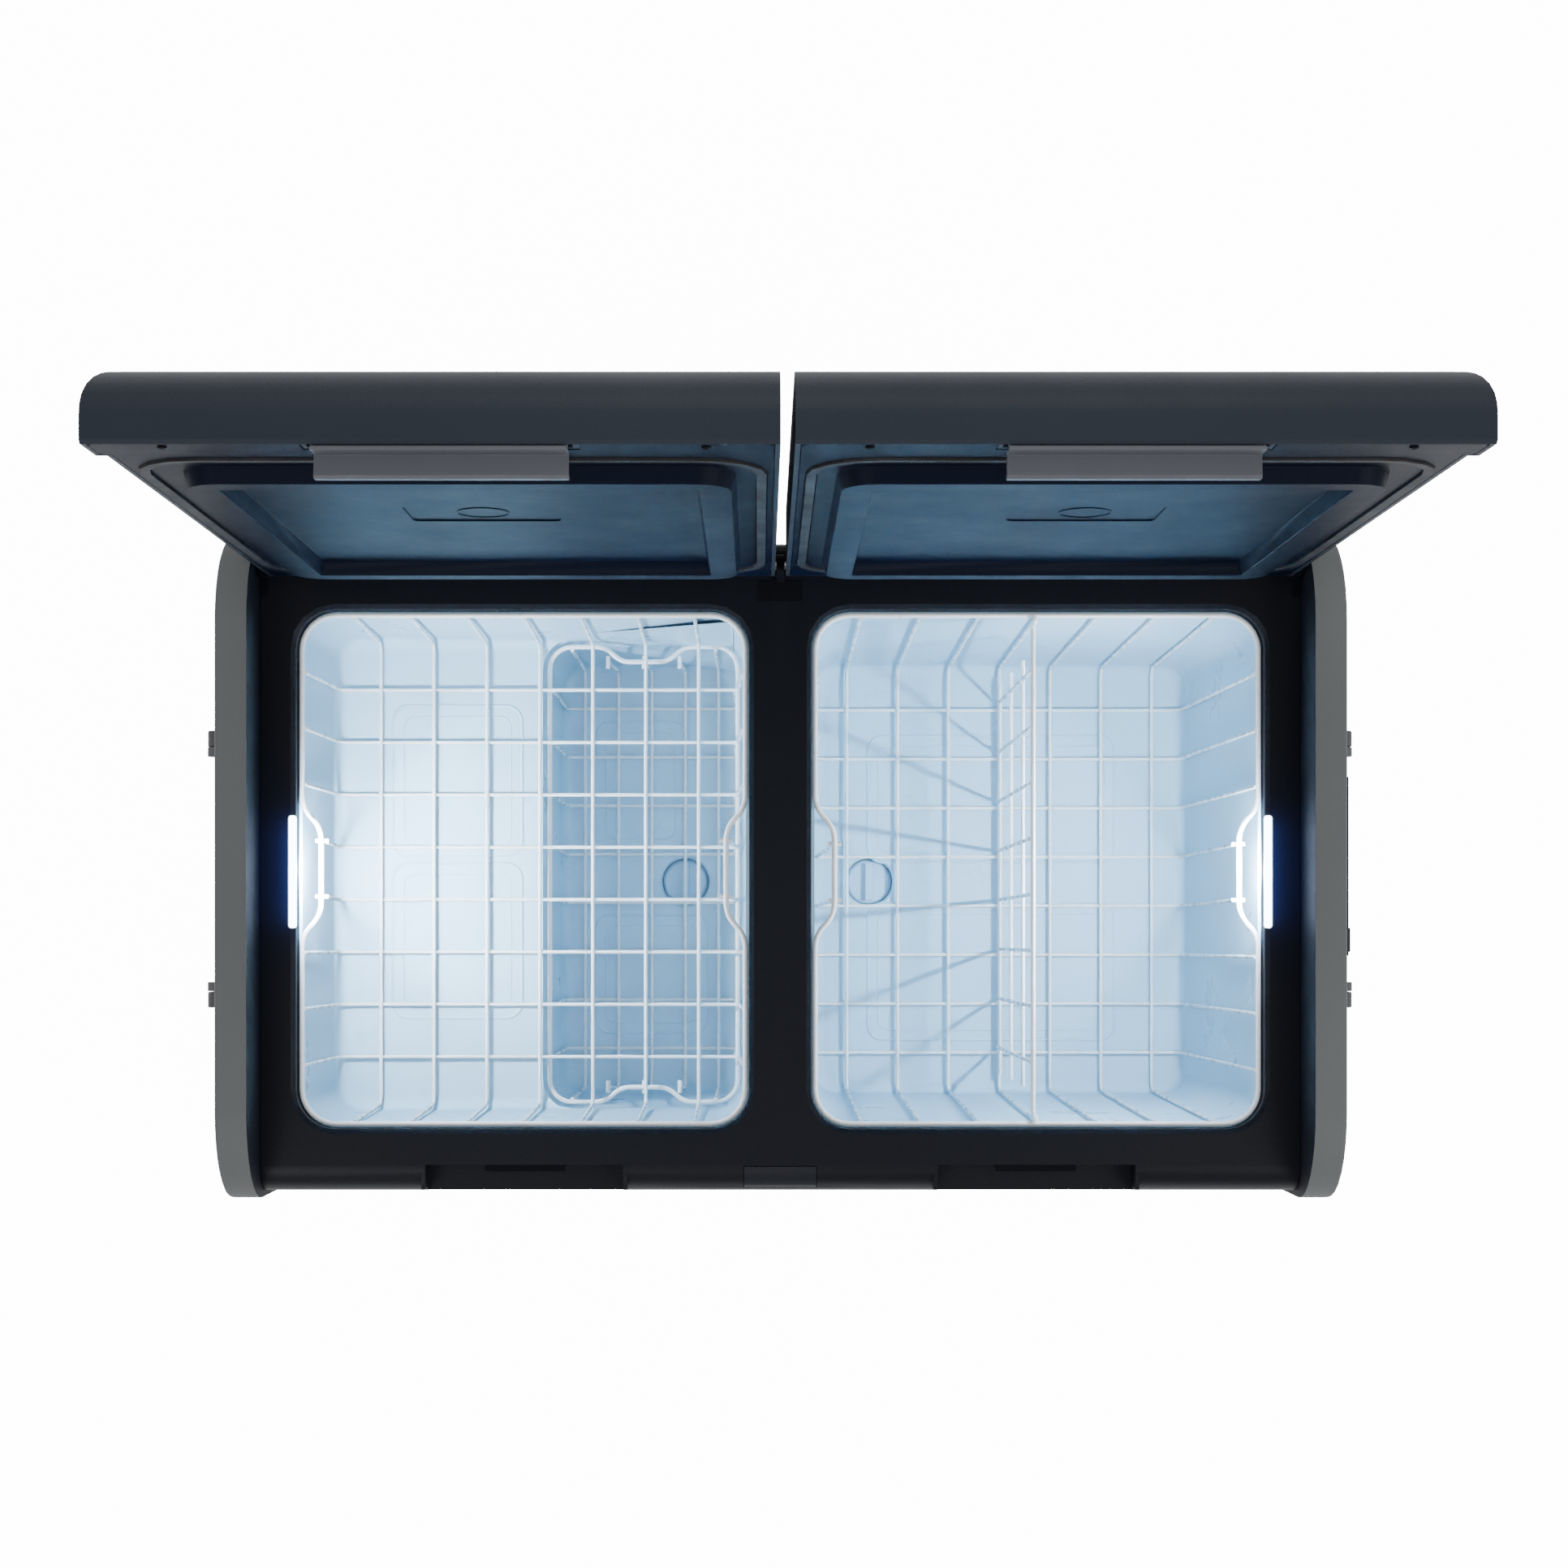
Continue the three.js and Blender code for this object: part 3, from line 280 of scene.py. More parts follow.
FINISH = {
    "skin_plastic": moulded_plastic("slate_skin", (0.030, 0.037, 0.050), 0.5),
    "foot_rubber": rubber("foot_rubber", (0.012, 0.012, 0.013)),
    "frame_plastic": moulded_plastic("black_frame", (0.0040, 0.0050, 0.0085), 0.42, worn=0.15, specular=0.25),
    "cap_plastic": moulded_plastic("slate_cap", (0.0065, 0.0080, 0.0130), 0.4, specular=0.35),
    "foam": foam("cream_foam", (0.72, 0.62, 0.38)),
    "end_plastic": moulded_plastic("grey_end", (0.118, 0.124, 0.125), 0.6, worn=0.2, specular=0.3),
    "liner_plastic": liner_plastic("icy_liner", (0.44, 0.69, 0.86)),
    "aluminium": metal("bare_aluminium", (0.72, 0.73, 0.74), 0.35, (1, 1, 8)),
    "lens": glowing("lit_lens", (0.72, 0.86, 1.0), 14.0),
    "plug_rubber": liner_plastic("plug_rubber", (0.38, 0.63, 0.81)),
    "steel": metal("bright_steel", (0.66, 0.67, 0.69), 0.3, (8, 1, 1)),
    "dark_steel": painted_steel("black_steel", (0.0035, 0.004, 0.006), 0.6, 0.1),
    "compressor_steel": painted_steel("compressor_black", (0.010, 0.010, 0.011), 0.45),
    "handle_plastic": moulded_plastic("handle_grey", (0.085, 0.090, 0.092), 0.5),
    "lid_plastic": moulded_plastic("slate_lid", (0.0185, 0.0240, 0.0340), 0.52, worn=0.12, specular=0.25),
    "lid_liner_plastic": moulded_plastic("lid_inner", (0.0022, 0.0046, 0.0135), 0.46, worn=0.08,
                                        specular=0.1),
    "gasket_rubber": rubber("gasket_rubber", (0.010, 0.010, 0.012), 0.6),
    "latch_plastic": moulded_plastic("latch_grey", (0.085, 0.090, 0.102), 0.42),
    "window": gloss_plastic("smoked_window", (0.006, 0.007, 0.010), 0.08, 0.8),
    "board": board_material("circuit_board"),
    "button_plastic": rubber("button_rubber", (0.10, 0.105, 0.11), 0.55),
    "fan_plastic": moulded_plastic("fan_black", (0.010, 0.010, 0.011), 0.4),
    "copper": metal("copper_tube", (0.75, 0.36, 0.2), 0.3, (1, 1, 1), 60),
    "basket_wire": coated_wire("white_wire", (0.93, 0.955, 0.97)),
}


# ---------------------------------------------------------------- pieces

SHARP_CORNER, ROUND_STEPS = 38, 2
# Where painted shade goes: the inward cheek faces of the end panels, and the latch recesses in the top frame.
CHEEK_X = 0.3895
RECESS_X, RECESS_Y, RECESS_TOP = (0.116, 0.267), -0.237, 0.4248


def place(piece, body, slot, *nodes):
    """Gives a finished piece its body and hides the frame pieces it stands for; slot is not used."""
    if piece.name not in bpy.context.scene.collection.objects:
        bpy.context.scene.collection.objects.link(piece)
    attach(piece, body)
    if nodes:
        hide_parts(*nodes)
    return piece


def mesh_of(bm, name):
    """Turns a bmesh into a mesh and frees it."""
    mesh = bpy.data.meshes.new(name)
    bm.to_mesh(mesh)
    bm.free()
    return mesh


def band(bm, lower, upper):
    """Four-sided faces all the way round between two rings of equal length."""
    count = len(lower)
    for i in range(count):
        bm.faces.new((lower[i], lower[(i + 1) % count], upper[(i + 1) % count], upper[i]))


def circle(radius, count, x=0, y=0):
    turns = [2 * math.pi * i / count for i in range(count)]
    return [(x + radius * math.cos(a), y + radius * math.sin(a)) for a in turns]


def sharpen(bm, degrees):
    """Smooth faces, with only the edges steeper than this left hard."""
    limit = math.radians(degrees)
    for face in bm.faces:
        face.smooth = True
    for edge in bm.edges:
        edge.smooth = len(edge.link_faces) == 2 and edge.calc_face_angle(0) < limit


def painted_shade_face(face, node):
    """Whether a face gets painted shade: it lies in a latch recess, or looks inwards on the cheek of an end
    panel.
    """
    middle = face.calc_center_median()
    if node == "top_frame":
        return RECESS_X[0] < abs(middle.x) < RECESS_X[1] and middle.y < RECESS_Y and middle.z < RECESS_TOP
    return face.normal.x * middle.x < 0 and abs(face.normal.x) > 0.5 and abs(middle.x) < CHEEK_X


def softened(node, width):
    """A copy of a frame piece with its hard edges rounded, standing in for the plain one."""
    bm = bmesh.new()
    bm.from_mesh(frame["nodes"][node].data)
    bmesh.ops.remove_doubles(bm, verts=bm.verts, dist=2e-6)
    bmesh.ops.dissolve_limit(bm, angle_limit=math.radians(0.6), verts=bm.verts, edges=bm.edges[:])
    mark = bm.verts.layers.float.new("edge")
    limit = math.radians(SHARP_CORNER)
    hard = [e for e in bm.edges if len(e.link_faces) == 2 and e.calc_face_angle(0) > limit]
    if hard:
        made = bmesh.ops.bevel(bm, geom=hard, offset=width * MM, offset_type="OFFSET",
                               segments=ROUND_STEPS, profile=0.5, affect="EDGES", clamp_overlap=True,
                               harden_normals=False)
        rounded = set(made["faces"])
        for vert in {v for face in rounded for v in face.verts}:
            vert[mark] = float(all(face in rounded for face in vert.link_faces))
    # Painted shade: near-black on the latch recesses and the inward cheek faces, which lie in shadow.
    if node.startswith("end_panel") or node == "top_frame":
        shade = bm.faces.layers.float.new("shade")
        for face in bm.faces:
            face[shade] = float(painted_shade_face(face, node))
    sharpen(bm, 40)
    mesh = mesh_of(bm, node + "_soft")
    piece = bpy.data.objects.new(mesh.name, mesh)
    piece.modifiers.new("even_normals", "WEIGHTED_NORMAL").keep_sharp = True
    slot = SLOT_OF[node]
    mesh.materials.append(FINISH[slot])
    return place(piece, BODY_OF[node], slot, node)


def from_loops(name, finish, body, slot, build, *nodes, smooth=35):
    """A piece whose mesh is made by a build function on an empty bmesh, in body-centred millimetres."""
    bm = bmesh.new()
    build(bm)
    bmesh.ops.scale(bm, vec=(MM, MM, MM), verts=bm.verts)
    bmesh.ops.translate(bm, vec=(0, MID_Y, 0), verts=bm.verts)
    bmesh.ops.recalc_face_normals(bm, faces=bm.faces)
    sharpen(bm, smooth)
    mesh = mesh_of(bm, name)
    mesh.materials.append(FINISH[finish])
    return place(bpy.data.objects.new(name, mesh), body, slot, *nodes)


# ---------------------------------------------------------------- compartments

OPENING = dict(near=25.5, far=360, front=-193, back=191, r=27)
WELL = dict(near=25.5, far=193, front=-193, back=191, r=27)
COLLAR = dict(near=22.9, far=362.6, front=-195.6, back=193.6, r=29.6)
TAPER, FRAME_TOP, LIP, LEDGE, FLOOR, STEP = 0.02, 425.0, 421.5, 411.0, 127.0, 284.0
DRAIN, DRAIN_CUP = (80.0, -3.0), ((20.5, 113), (20.5, 125), (22.5, 127.5), (22.5, 130))
CREST_ROUND, SHEET = 6.5, 2.2
COLLAR_STEPS = ((2, LEDGE), (0.6, LEDGE + 0.6), (0, LEDGE + 2), (0, LIP))


def rounded_outline(side, rect, shrink, steps=9):
    radius = max(rect["r"] - shrink, 4)
    x0, x1 = sorted((side * (rect["near"] + shrink), side * (rect["far"] - shrink)))
    y0, y1 = rect["front"] + shrink, rect["back"] - shrink
    points = []
    for cx, cy, start in ((x1 - radius, y0 + radius, -90), (x1 - radius, y1 - radius, 0),
                          (x0 + radius, y1 - radius, 90), (x0 + radius, y0 + radius, 180)):
        for i in range(steps + 1):
            angle = math.radians(start + 90 * i / steps)
            points.append((cx + radius * math.cos(angle), cy + radius * math.sin(angle)))
    return points


def tower(bm, levels):
    """A closed solid through outlines of equal length, each (outline, height), from the bottom up."""
    rings = [[bm.verts.new((x, y, z)) for x, y in outline] for outline, z in levels]
    bm.faces.new(list(reversed(rings[0])))
    for below, above in zip(rings, rings[1:]):
        band(bm, below, above)
    bm.faces.new(rings[-1])


def block(levels):
    bm = bmesh.new()
    tower(bm, levels)
    return bpy.data.objects.new("block", mesh_of(bm, "block"))


def combined(first, second, operation):
    """The mesh of one block joined with, or cut by, another."""
    modifier = first.modifiers.new("combine", "BOOLEAN")
    modifier.operation, modifier.solver, modifier.object = operation, "EXACT", second
    for part in (first, second):
        if part.name not in bpy.context.scene.collection.objects:
            bpy.context.scene.collection.objects.link(part)
    bpy.context.view_layer.update()
    mesh = bpy.data.meshes.new_from_object(first.evaluated_get(bpy.context.evaluated_depsgraph_get()))
    for part in (first, second):
        bpy.data.objects.remove(part)
    return mesh


def hollow(side, rect, floor, top):
    """The space inside a tub: tapered walls and a soft turn into the floor."""
    def level(z, extra):
        return rounded_outline(side, rect, TAPER * (FRAME_TOP - z) + extra), z

    turn = [level(floor + 11 * (1 - math.sin(a)), 11 * (1 - math.cos(a)))
            for a in (math.radians(90 * i / 7) for i in range(8))]
    return block(list(reversed([level(top, 0)] + turn)))


def outside(co):
    """Whether a point of a thickened sheet has been thrown clear of the compartment."""
    return not (19 < abs(co.x) < 366.5 and -200 < co.y < 198 and co.z > 109)


def compartment(side):
    """The inside skin of one compartment, thickened outwards into a sheet."""
    def build(bm):
        space = hollow(side, OPENING, STEP if side < 0 else FLOOR, LIP - 5)
        if side < 0:
            mesh = combined(space, hollow(side, WELL, FLOOR, STEP + 40), "UNION")
            space = bpy.data.objects.new("space", mesh)
        cup = block([(circle(r, 40, side * DRAIN[0], DRAIN[1]), z) for r, z in DRAIN_CUP])
        mesh = combined(space, cup, "UNION")
        collar = block([(rounded_outline(side, COLLAR, inset), z) for inset, z in COLLAR_STEPS])
        mesh = combined(bpy.data.objects.new("space", mesh), collar, "UNION")
        bm.from_mesh(mesh)
        bpy.data.meshes.remove(mesh)
        bmesh.ops.remove_doubles(bm, verts=bm.verts, dist=0.01)
        bmesh.ops.dissolve_limit(bm, angle_limit=math.radians(0.5), verts=bm.verts, edges=bm.edges)
        crest = [e for e in bm.edges if side < 0 and all(abs(v.co.z - STEP) < 0.05 for v in e.verts)
                 and e.calc_face_angle(0) > math.radians(50)]
        if crest:
            bmesh.ops.bevel(bm, geom=crest, offset=CREST_ROUND, offset_type="OFFSET", segments=5,
                            profile=0.5, affect="EDGES", clamp_overlap=True)
        top = [f for f in bm.faces if all(v.co.z > LIP - 0.1 for v in f.verts)]
        bmesh.ops.delete(bm, geom=top, context="FACES")
        bmesh.ops.recalc_face_normals(bm, faces=bm.faces)
        middle = Vector((side * 190, 0, 350))
        wall = max(bm.faces, key=lambda f: f.calc_area())
        if (middle - wall.calc_center_median()).dot(wall.normal) < 0:
            bmesh.ops.reverse_faces(bm, faces=bm.faces)
        bmesh.ops.solidify(bm, geom=bm.faces[:], thickness=SHEET)
        strays = {v for v in bm.verts if outside(v.co)}
        for stray in strays:
            near = [e.other_vert(stray) for e in stray.link_edges]
            kept = [v.co for v in near if v not in strays]
            stray.co = min(kept, key=lambda co: abs(co.z - STEP)) if kept else Vector((-193, 190, STEP))
        bmesh.ops.remove_doubles(bm, verts=bm.verts, dist=0.02)
        # Painted shade: the collar and ledge above the ledge height are coloured near-black, as the shadow
        # gap between basket rim and frame.
        shade = bm.faces.layers.float.new("shade")
        for face in bm.faces:
            face[shade] = float(face.calc_center_median().z > LEDGE + 0.3)
    return build


PANELS = {"left": [(STEP, -311, -207, 13, 135), (STEP, -311, -207, -117, 8), (FLOOR, -158, -80, 25, 136),
                   (FLOOR, -158, -60, -135, -32)],
          "right": [(FLOOR, 79, 294, 14, 124), (FLOOR, 79, 294, -141, -22)]}


def ridge(x0, x1, y0, y1, z, radius, height, width):
    """A low rounded ridge round a panel on a compartment floor."""
    def build(bm):
        rings = []
        near, far = sorted((abs(x0), abs(x1)))
        for out, up in ((width, -0.4), (width * 0.4, height), (-width * 0.4, height), (-width, -0.4)):
            rect = dict(near=near - out, far=far + out, front=y0 - out, back=y1 + out, r=radius + out)
            outline = rounded_outline(1 if x0 > 0 else -1, rect, 0, 6)
            rings.append([bm.verts.new((x, y, z + up)) for x, y in outline])
        for lower, upper in zip(rings, rings[1:] + rings[:1]):
            band(bm, lower, upper)
    return build


for word, side in SIDES:
    from_loops(f"compartment_{word}", "liner_plastic", "body", "liner_plastic", compartment(side),
               f"liner_{word}")

    def panels(bm, word=word):
        for z, x0, x1, y0, y1 in PANELS[word]:
            ridge(x0, x1, y0, y1, z, 13, 0.9, 1.5)(bm)
            ridge(x0 + 9, x1 - 9, y0 + 9, y1 - 9, z, 9, 0.5, 1.1)(bm)
    from_loops(f"floor_ridges_{word}", "liner_plastic", "body", "liner_plastic", panels, smooth=60)


# ---------------------------------------------------------------- wire baskets

def empty_tree(name, result, **inputs):
    """A geometry node tree with its sockets made, and its input and output nodes."""
    tree = bpy.data.node_groups.new(name, "GeometryNodeTree")
    for label, kind in inputs.items():
        tree.interface.new_socket(label, in_out="INPUT", socket_type="NodeSocket" + kind)
    tree.interface.new_socket(result, in_out="OUTPUT", socket_type="NodeSocketGeometry")
    return tree, tree.nodes.new("NodeGroupInput"), tree.nodes.new("NodeGroupOutput")


def wire_tree():
    """Geometry nodes: rounds the bends of each path and sweeps a round wire along it."""
    tree, source, result = empty_tree("bent_wire", "Wire", paths="Geometry", wire_radius="Float",
                                      bend_radius="Float", sides="Int", bend_steps="Int",
                                      material="Material")
    bend = add(tree, "GeometryNodeFilletCurve", mode="POLY")
    profile = add(tree, "GeometryNodeCurvePrimitiveCircle", mode="RADIUS")
    sweep = add(tree, "GeometryNodeCurveToMesh")
    smooth = add(tree, "GeometryNodeSetShadeSmooth")
    real = add(tree, "GeometryNodeRealizeInstances")
    coat = add(tree, "GeometryNodeSetMaterial")
    join = tree.links.new
    join(source.outputs["paths"], bend.inputs["Curve"])
    join(source.outputs["bend_radius"], bend.inputs["Radius"])
    join(source.outputs["bend_steps"], bend.inputs["Count"])
    bend.inputs["Limit Radius"].default_value = True
    join(bend.outputs["Curve"], sweep.inputs["Curve"])
    join(source.outputs["wire_radius"], profile.inputs["Radius"])
    join(source.outputs["sides"], profile.inputs["Resolution"])
    join(profile.outputs["Curve"], sweep.inputs["Profile Curve"])
    sweep.inputs["Fill Caps"].default_value = True
    join(sweep.outputs["Mesh"], smooth.inputs["Geometry"])
    join(smooth.outputs["Geometry"], real.inputs["Geometry"])
    join(real.outputs["Geometry"], coat.inputs["Geometry"])
    join(source.outputs["material"], coat.inputs["Material"])
    join(coat.outputs["Geometry"], result.inputs["Wire"])
    return tree


WIRE_TREE = wire_tree()


def grown_mesh(holder, tree, **values):
    """Runs a geometry node tree on an object and returns the plain mesh it makes."""
    modifier = holder.modifiers.new("grow", "NODES")
    modifier.node_group = tree
    for item in tree.interface.items_tree:
        if item.in_out == "INPUT" and item.name in values:
            modifier[item.identifier] = values[item.name]
    bpy.context.scene.collection.objects.link(holder)
    bpy.context.view_layer.update()
    ready = holder.evaluated_get(bpy.context.evaluated_depsgraph_get())
    mesh = bpy.data.meshes.new_from_object(ready)
    holder.modifiers.remove(modifier)
    bpy.data.objects.remove(holder)
    return mesh


def wires(paths, radius, bend, sides, finish="basket_wire"):
    """A mesh of round wires along paths of points, in body-centred millimetres; a path may be closed."""
    curve = bpy.data.curves.new("paths", "CURVE")
    curve.dimensions = "3D"
    for points, closed in paths:
        spline = curve.splines.new("POLY")
        spline.points.add(len(points) - 1)
        for slot, (x, y, z) in zip(spline.points, points):
            slot.co = (x * MM, y * MM + MID_Y, z * MM, 1)
        spline.use_cyclic_u = closed
    holder = bpy.data.objects.new("paths", curve)
    return grown_mesh(holder, WIRE_TREE, wire_radius=radius * MM, bend_radius=bend * MM, sides=sides,
                      bend_steps=6, material=FINISH[finish])


def joined(name, meshes, body, slot, *nodes):
    """Several meshes made into one piece."""
    bm = bmesh.new()
    for mesh in meshes:
        bm.from_mesh(mesh)
        bpy.data.meshes.remove(mesh)
    whole = mesh_of(bm, name)
    whole.materials.append(FINISH[slot])
    return place(bpy.data.objects.new(name, whole), body, slot, *nodes)


def row(first, pitch, count):
    return [first + i * pitch for i in range(count)]


def rim_path(x0, x1, y0, y1, z, grip):
    """A closed rim whose long or short sides step inwards as finger grips."""
    depth, start, end, on_ends = grip
    slope = 14
    sides = [[(x1, start), (x1 - depth, start + slope), (x1 - depth, end - slope), (x1, end)],
             [(end, y1), (end - slope, y1 - depth), (start + slope, y1 - depth), (start, y1)],
             [(x0, end), (x0 + depth, end - slope), (x0 + depth, start + slope), (x0, start)],
             [(start, y0), (start + slope, y0 + depth), (end - slope, y0 + depth), (end, y0)]]
    corners = [(x1, y0), (x1, y1), (x0, y1), (x0, y0)]
    path = []
    for n in range(4):
        path.append(corners[n])
        if on_ends == bool(n % 2):
            path += sides[n]
    return [(x, y, z) for x, y in path]


RIM_WIRE, GRID_WIRE, STUB_WIRE = 2.0, 1.45, 1.7
UNDER, OVER = 1.5, 3.4
STUB_REACH, STUB_DROP = 5, 1.6


def basket(name, rim, foot, mouth, floor, rim_top, across, along, grip):
    """Rim, cradles across and along, and stubs over the grips.

    Each rectangle is x0, x1, y0, y1 of the outsides of its wires.
    """
    depth, start, end, on_ends = grip
    edge = rim_path(rim[0] + 2, rim[1] - 2, rim[2] + 2, rim[3] - 2, rim_top - 2, grip)
    top = rim_top - 2.2
    stubs = []

    def cradle(at, lying_x):
        def turned(points):
            return [((p, at, h) if lying_x else (at, p, h)) for p, h in points], False

        a, b = (0, 1) if lying_x else (2, 3)
        z = floor + (UNDER if lying_x else OVER)
        ends = (mouth[a] + 1.5, mouth[b] - 1.5)
        if on_ends != lying_x and start - 2 < at < end + 2:
            ends = (rim[a] + depth + 2.4, rim[b] - depth - 2.4)
            low = top - STUB_DROP
            stubs.extend(turned([(p - STUB_REACH, low), (p + STUB_REACH, low)]) for p in ends)
        return turned([(ends[0], top), (foot[a] + 1.5, z), (foot[b] - 1.5, z), (ends[1], top)])

    grid = [cradle(y, True) for y in across] + [cradle(x, False) for x in along]
    bend = 26.0 if rim_top > 300 else 18.0
    meshes = [wires([(edge, True)], RIM_WIRE, bend, 14), wires(grid, GRID_WIRE, 9.0, 10),
              wires(stubs, STUB_WIRE, 1.0, 10)]
    joined(name + "_wire", meshes, name, "basket_wire", name)


RIM_TOP = LEDGE + 4.3
basket("basket_left_upper", (-361.6, -24.2, -194.2, 192.2), (-354.6, -30.9, -187.6, 185.6),
       (-359, -26.5, -192, 190), 285, RIM_TOP, row(-148, 42.2, 8), row(-320, 42.6, 7), (14.5, -50, 45, False))
basket("basket_left_lower", (-187, -31, -187, 185), (-184, -34, -184, 182), (-184, -34, -184, 182),
       129, 281, row(-148, 42.2, 8), row(-167, 29, 5), (12, -141, -76, True))
basket("basket_right", (24.2, 361.6, -194.2, 192.2), (32.6, 352.4, -186.2, 184.2), (26.5, 359, -192, 190),
       129, RIM_TOP, row(-152, 42.6, 8), row(60.5, 44.2, 7), (14.5, -50, 45, False))


def divider():
    """Uprights and three levels, under a bar whose ends hook over the rim."""
    x, low, high, over = 191.5, 137.5, 402, RIM_TOP + 2.3
    front, back = -186.3, 184.3
    uprights = [([(x, y, low), (x, y, high)], False) for y in row(-147, 42.6, 8)]
    levels = [([(x + 2, -170, z), (x + 2, 168, z)], False) for z in (low, 226.5, 315.5)]
    hook = [(x, -192, over), (x, front, over), (x, front, high), (x, back, high), (x, back, over),
            (x, 190, over)]
    meshes = [wires([(hook, False)], 1.9, 3.0, 12), wires(uprights, GRID_WIRE, 4.0, 10),
              wires(levels, 1.6, 4.0, 10)]
    joined("basket_divider_wire", meshes, "basket_divider", "basket_wire", "basket_divider")


divider()


# ---------------------------------------------------------------- frame pieces that keep their shape

SOFT_EDGES = {
    "top_frame": 1.0, "front_panel": 0.8, "back_panel": 0.8, "base_pan": 0.8, "centre_cap": 0.5,
    "end_panel_left": 1.2, "end_panel_right": 1.2, "handle_left": 1.6, "handle_right": 1.6,
    "lid_cover_left": 1.0, "lid_cover_right": 1.0, "lid_liner_left": 1.2, "lid_liner_right": 1.2,
    "latch_left": 0.8, "latch_right": 0.8, "vent_grille": 0.6, "power_inlet": 0.5, "display_bezel": 0.8,
    "display_window": 0.15, "button_power": 0.8, "button_down": 0.8, "button_up": 0.8, "usb_cover": 0.9,
    "drain_plug_left": 0.8, "drain_plug_right": 0.8, "latch_strike_left": 0.3, "latch_strike_right": 0.3,
    "hinge_bracket_left": 0.3, "hinge_bracket_right": 0.3, "hinge_bracket_centre": 0.3,
    "led_lens_left": 0.8, "led_lens_right": 0.8, "lid_gasket_left": 0.5, "lid_gasket_right": 0.5,
    "foot_front_left": 0.5, "foot_front_right": 0.5, "foot_back_left": 0.5, "foot_back_right": 0.5,
    "fan_shroud": 0.5, "condenser": 0.3, "compressor": 0.6,
}
for node, width in SOFT_EDGES.items():
    softened(node, width)

for name, node in frame["nodes"].items():
    node.data.materials.clear()
    node.data.materials.append(FINISH[SLOT_OF[name]])


def screw_tree():
    """Geometry nodes: sets a low screw head with a cross slot at every point."""
    tree, source, result = empty_tree("screw_row", "Screws", points="Geometry", head="Object",
                                      tilt="Vector", material="Material")
    head = add(tree, "GeometryNodeObjectInfo")
    scatter = add(tree, "GeometryNodeInstanceOnPoints")
    real = add(tree, "GeometryNodeRealizeInstances")
    coat = add(tree, "GeometryNodeSetMaterial")
    join = tree.links.new
    join(source.outputs["head"], head.inputs["Object"])
    join(source.outputs["points"], scatter.inputs["Points"])
    join(head.outputs["Geometry"], scatter.inputs["Instance"])
    join(source.outputs["tilt"], scatter.inputs["Rotation"])
    join(scatter.outputs["Instances"], real.inputs["Geometry"])
    join(real.outputs["Geometry"], coat.inputs["Geometry"])
    join(source.outputs["material"], coat.inputs["Material"])
    join(coat.outputs["Geometry"], result.inputs["Screws"])
    return tree


SCREW_TREE = screw_tree()


def screw_head(radius):
    """A pan head with a cross slot, its seat at the origin and its face towards +Z."""
    bm = bmesh.new()
    crown = 0.5 * radius
    rings = [[bm.verts.new((x, y, z)) for x, y in circle(r, 16)]
             for r, z in ((radius, 0), (radius, 0.35 * radius), (0.8 * radius, crown))]
    for lower, upper in zip(rings, rings[1:]):
        band(bm, lower, upper)
    bm.faces.new(list(reversed(rings[0])))
    arm, reach, deep = 0.13 * radius, 0.55 * radius, 0.2 * radius
    cross = [(arm, arm), (reach, arm), (reach, -arm), (arm, -arm), (arm, -reach), (-arm, -reach),
             (-arm, -arm), (-reach, -arm), (-reach, arm), (-arm, arm), (-arm, reach), (arm, reach)]
    cross = sorted(cross, key=lambda p: math.atan2(p[1], p[0]))
    lip = [bm.verts.new((x, y, crown)) for x, y in cross]
    well = [bm.verts.new((x, y, deep)) for x, y in cross]
    for i in range(12):
        bm.faces.new((lip[i], well[i], well[(i + 1) % 12], lip[(i + 1) % 12]))
    bm.faces.new(well)
    bmesh.ops.bridge_loops(bm, edges=[e for e in bm.edges if e.is_boundary])
    bmesh.ops.recalc_face_normals(bm, faces=bm.faces)
    sharpen(bm, 30)
    head = bpy.data.objects.new("screw_head", mesh_of(bm, "screw_head"))
    bpy.context.scene.collection.objects.link(head)
    return head


def screws(name, points, tilt, radius, body, slot):
    """Screw heads at points in body-centred millimetres, their faces turned from +Z by the tilt."""
    mesh = bpy.data.meshes.new("points")
    mesh.from_pydata([(x * MM, y * MM + MID_Y, z * MM) for x, y, z in points], [], [])
    head = screw_head(radius * MM)
    grown = grown_mesh(bpy.data.objects.new("points", mesh), SCREW_TREE, head=head, tilt=tilt,
                       material=FINISH[slot])
    bpy.data.objects.remove(head)
    joined(name, [grown], body, slot)


HINGE = (224.0, 434.0)


def opened(x, y, z):
    """A point of a shut lid, carried round the hinge line to where the open lid holds it."""
    return x, HINGE[0] + z - HINGE[1], HINGE[1] - (y - HINGE[0])


for word, side in SIDES:
    lid = f"lid_{word}"
    screws(f"lid_screws_{word}", [opened(side * x, -237.5, 427) for x in (45, 344)],
           (math.radians(90), 0, 0), 2.6, lid, "dark_steel")
    path = [opened(x, y, 428.1) for x, y in circle(16.5, 48, side * 191.5, -30.5)]
    ring = wires([(path, True)], 0.55, 0.0, 8, "lid_liner_plastic")
    joined(f"badge_ring_{word}", [ring], lid, "lid_liner_plastic")
    ends = [(side * 413.2, sy * 215, z) for sy in (-1, 1) for z in (52, 350)]
    screws(f"end_screws_{word}", ends, (0, side * math.radians(90), 0), 4.2, "body", "dark_steel")


SEGMENTS = {"a": (0, 1, 0), "b": (1, 1, 1), "c": (1, 0, 1), "d": (0, -1, 0), "e": (-1, 0, 1), "f": (-1, 1, 1),
            "g": (0, 0, 0)}
LIT = {"4": "bcfg", "-": "g", "1": "bc", "8": "abcdefg"}
WINDOW_FACE = 415.55


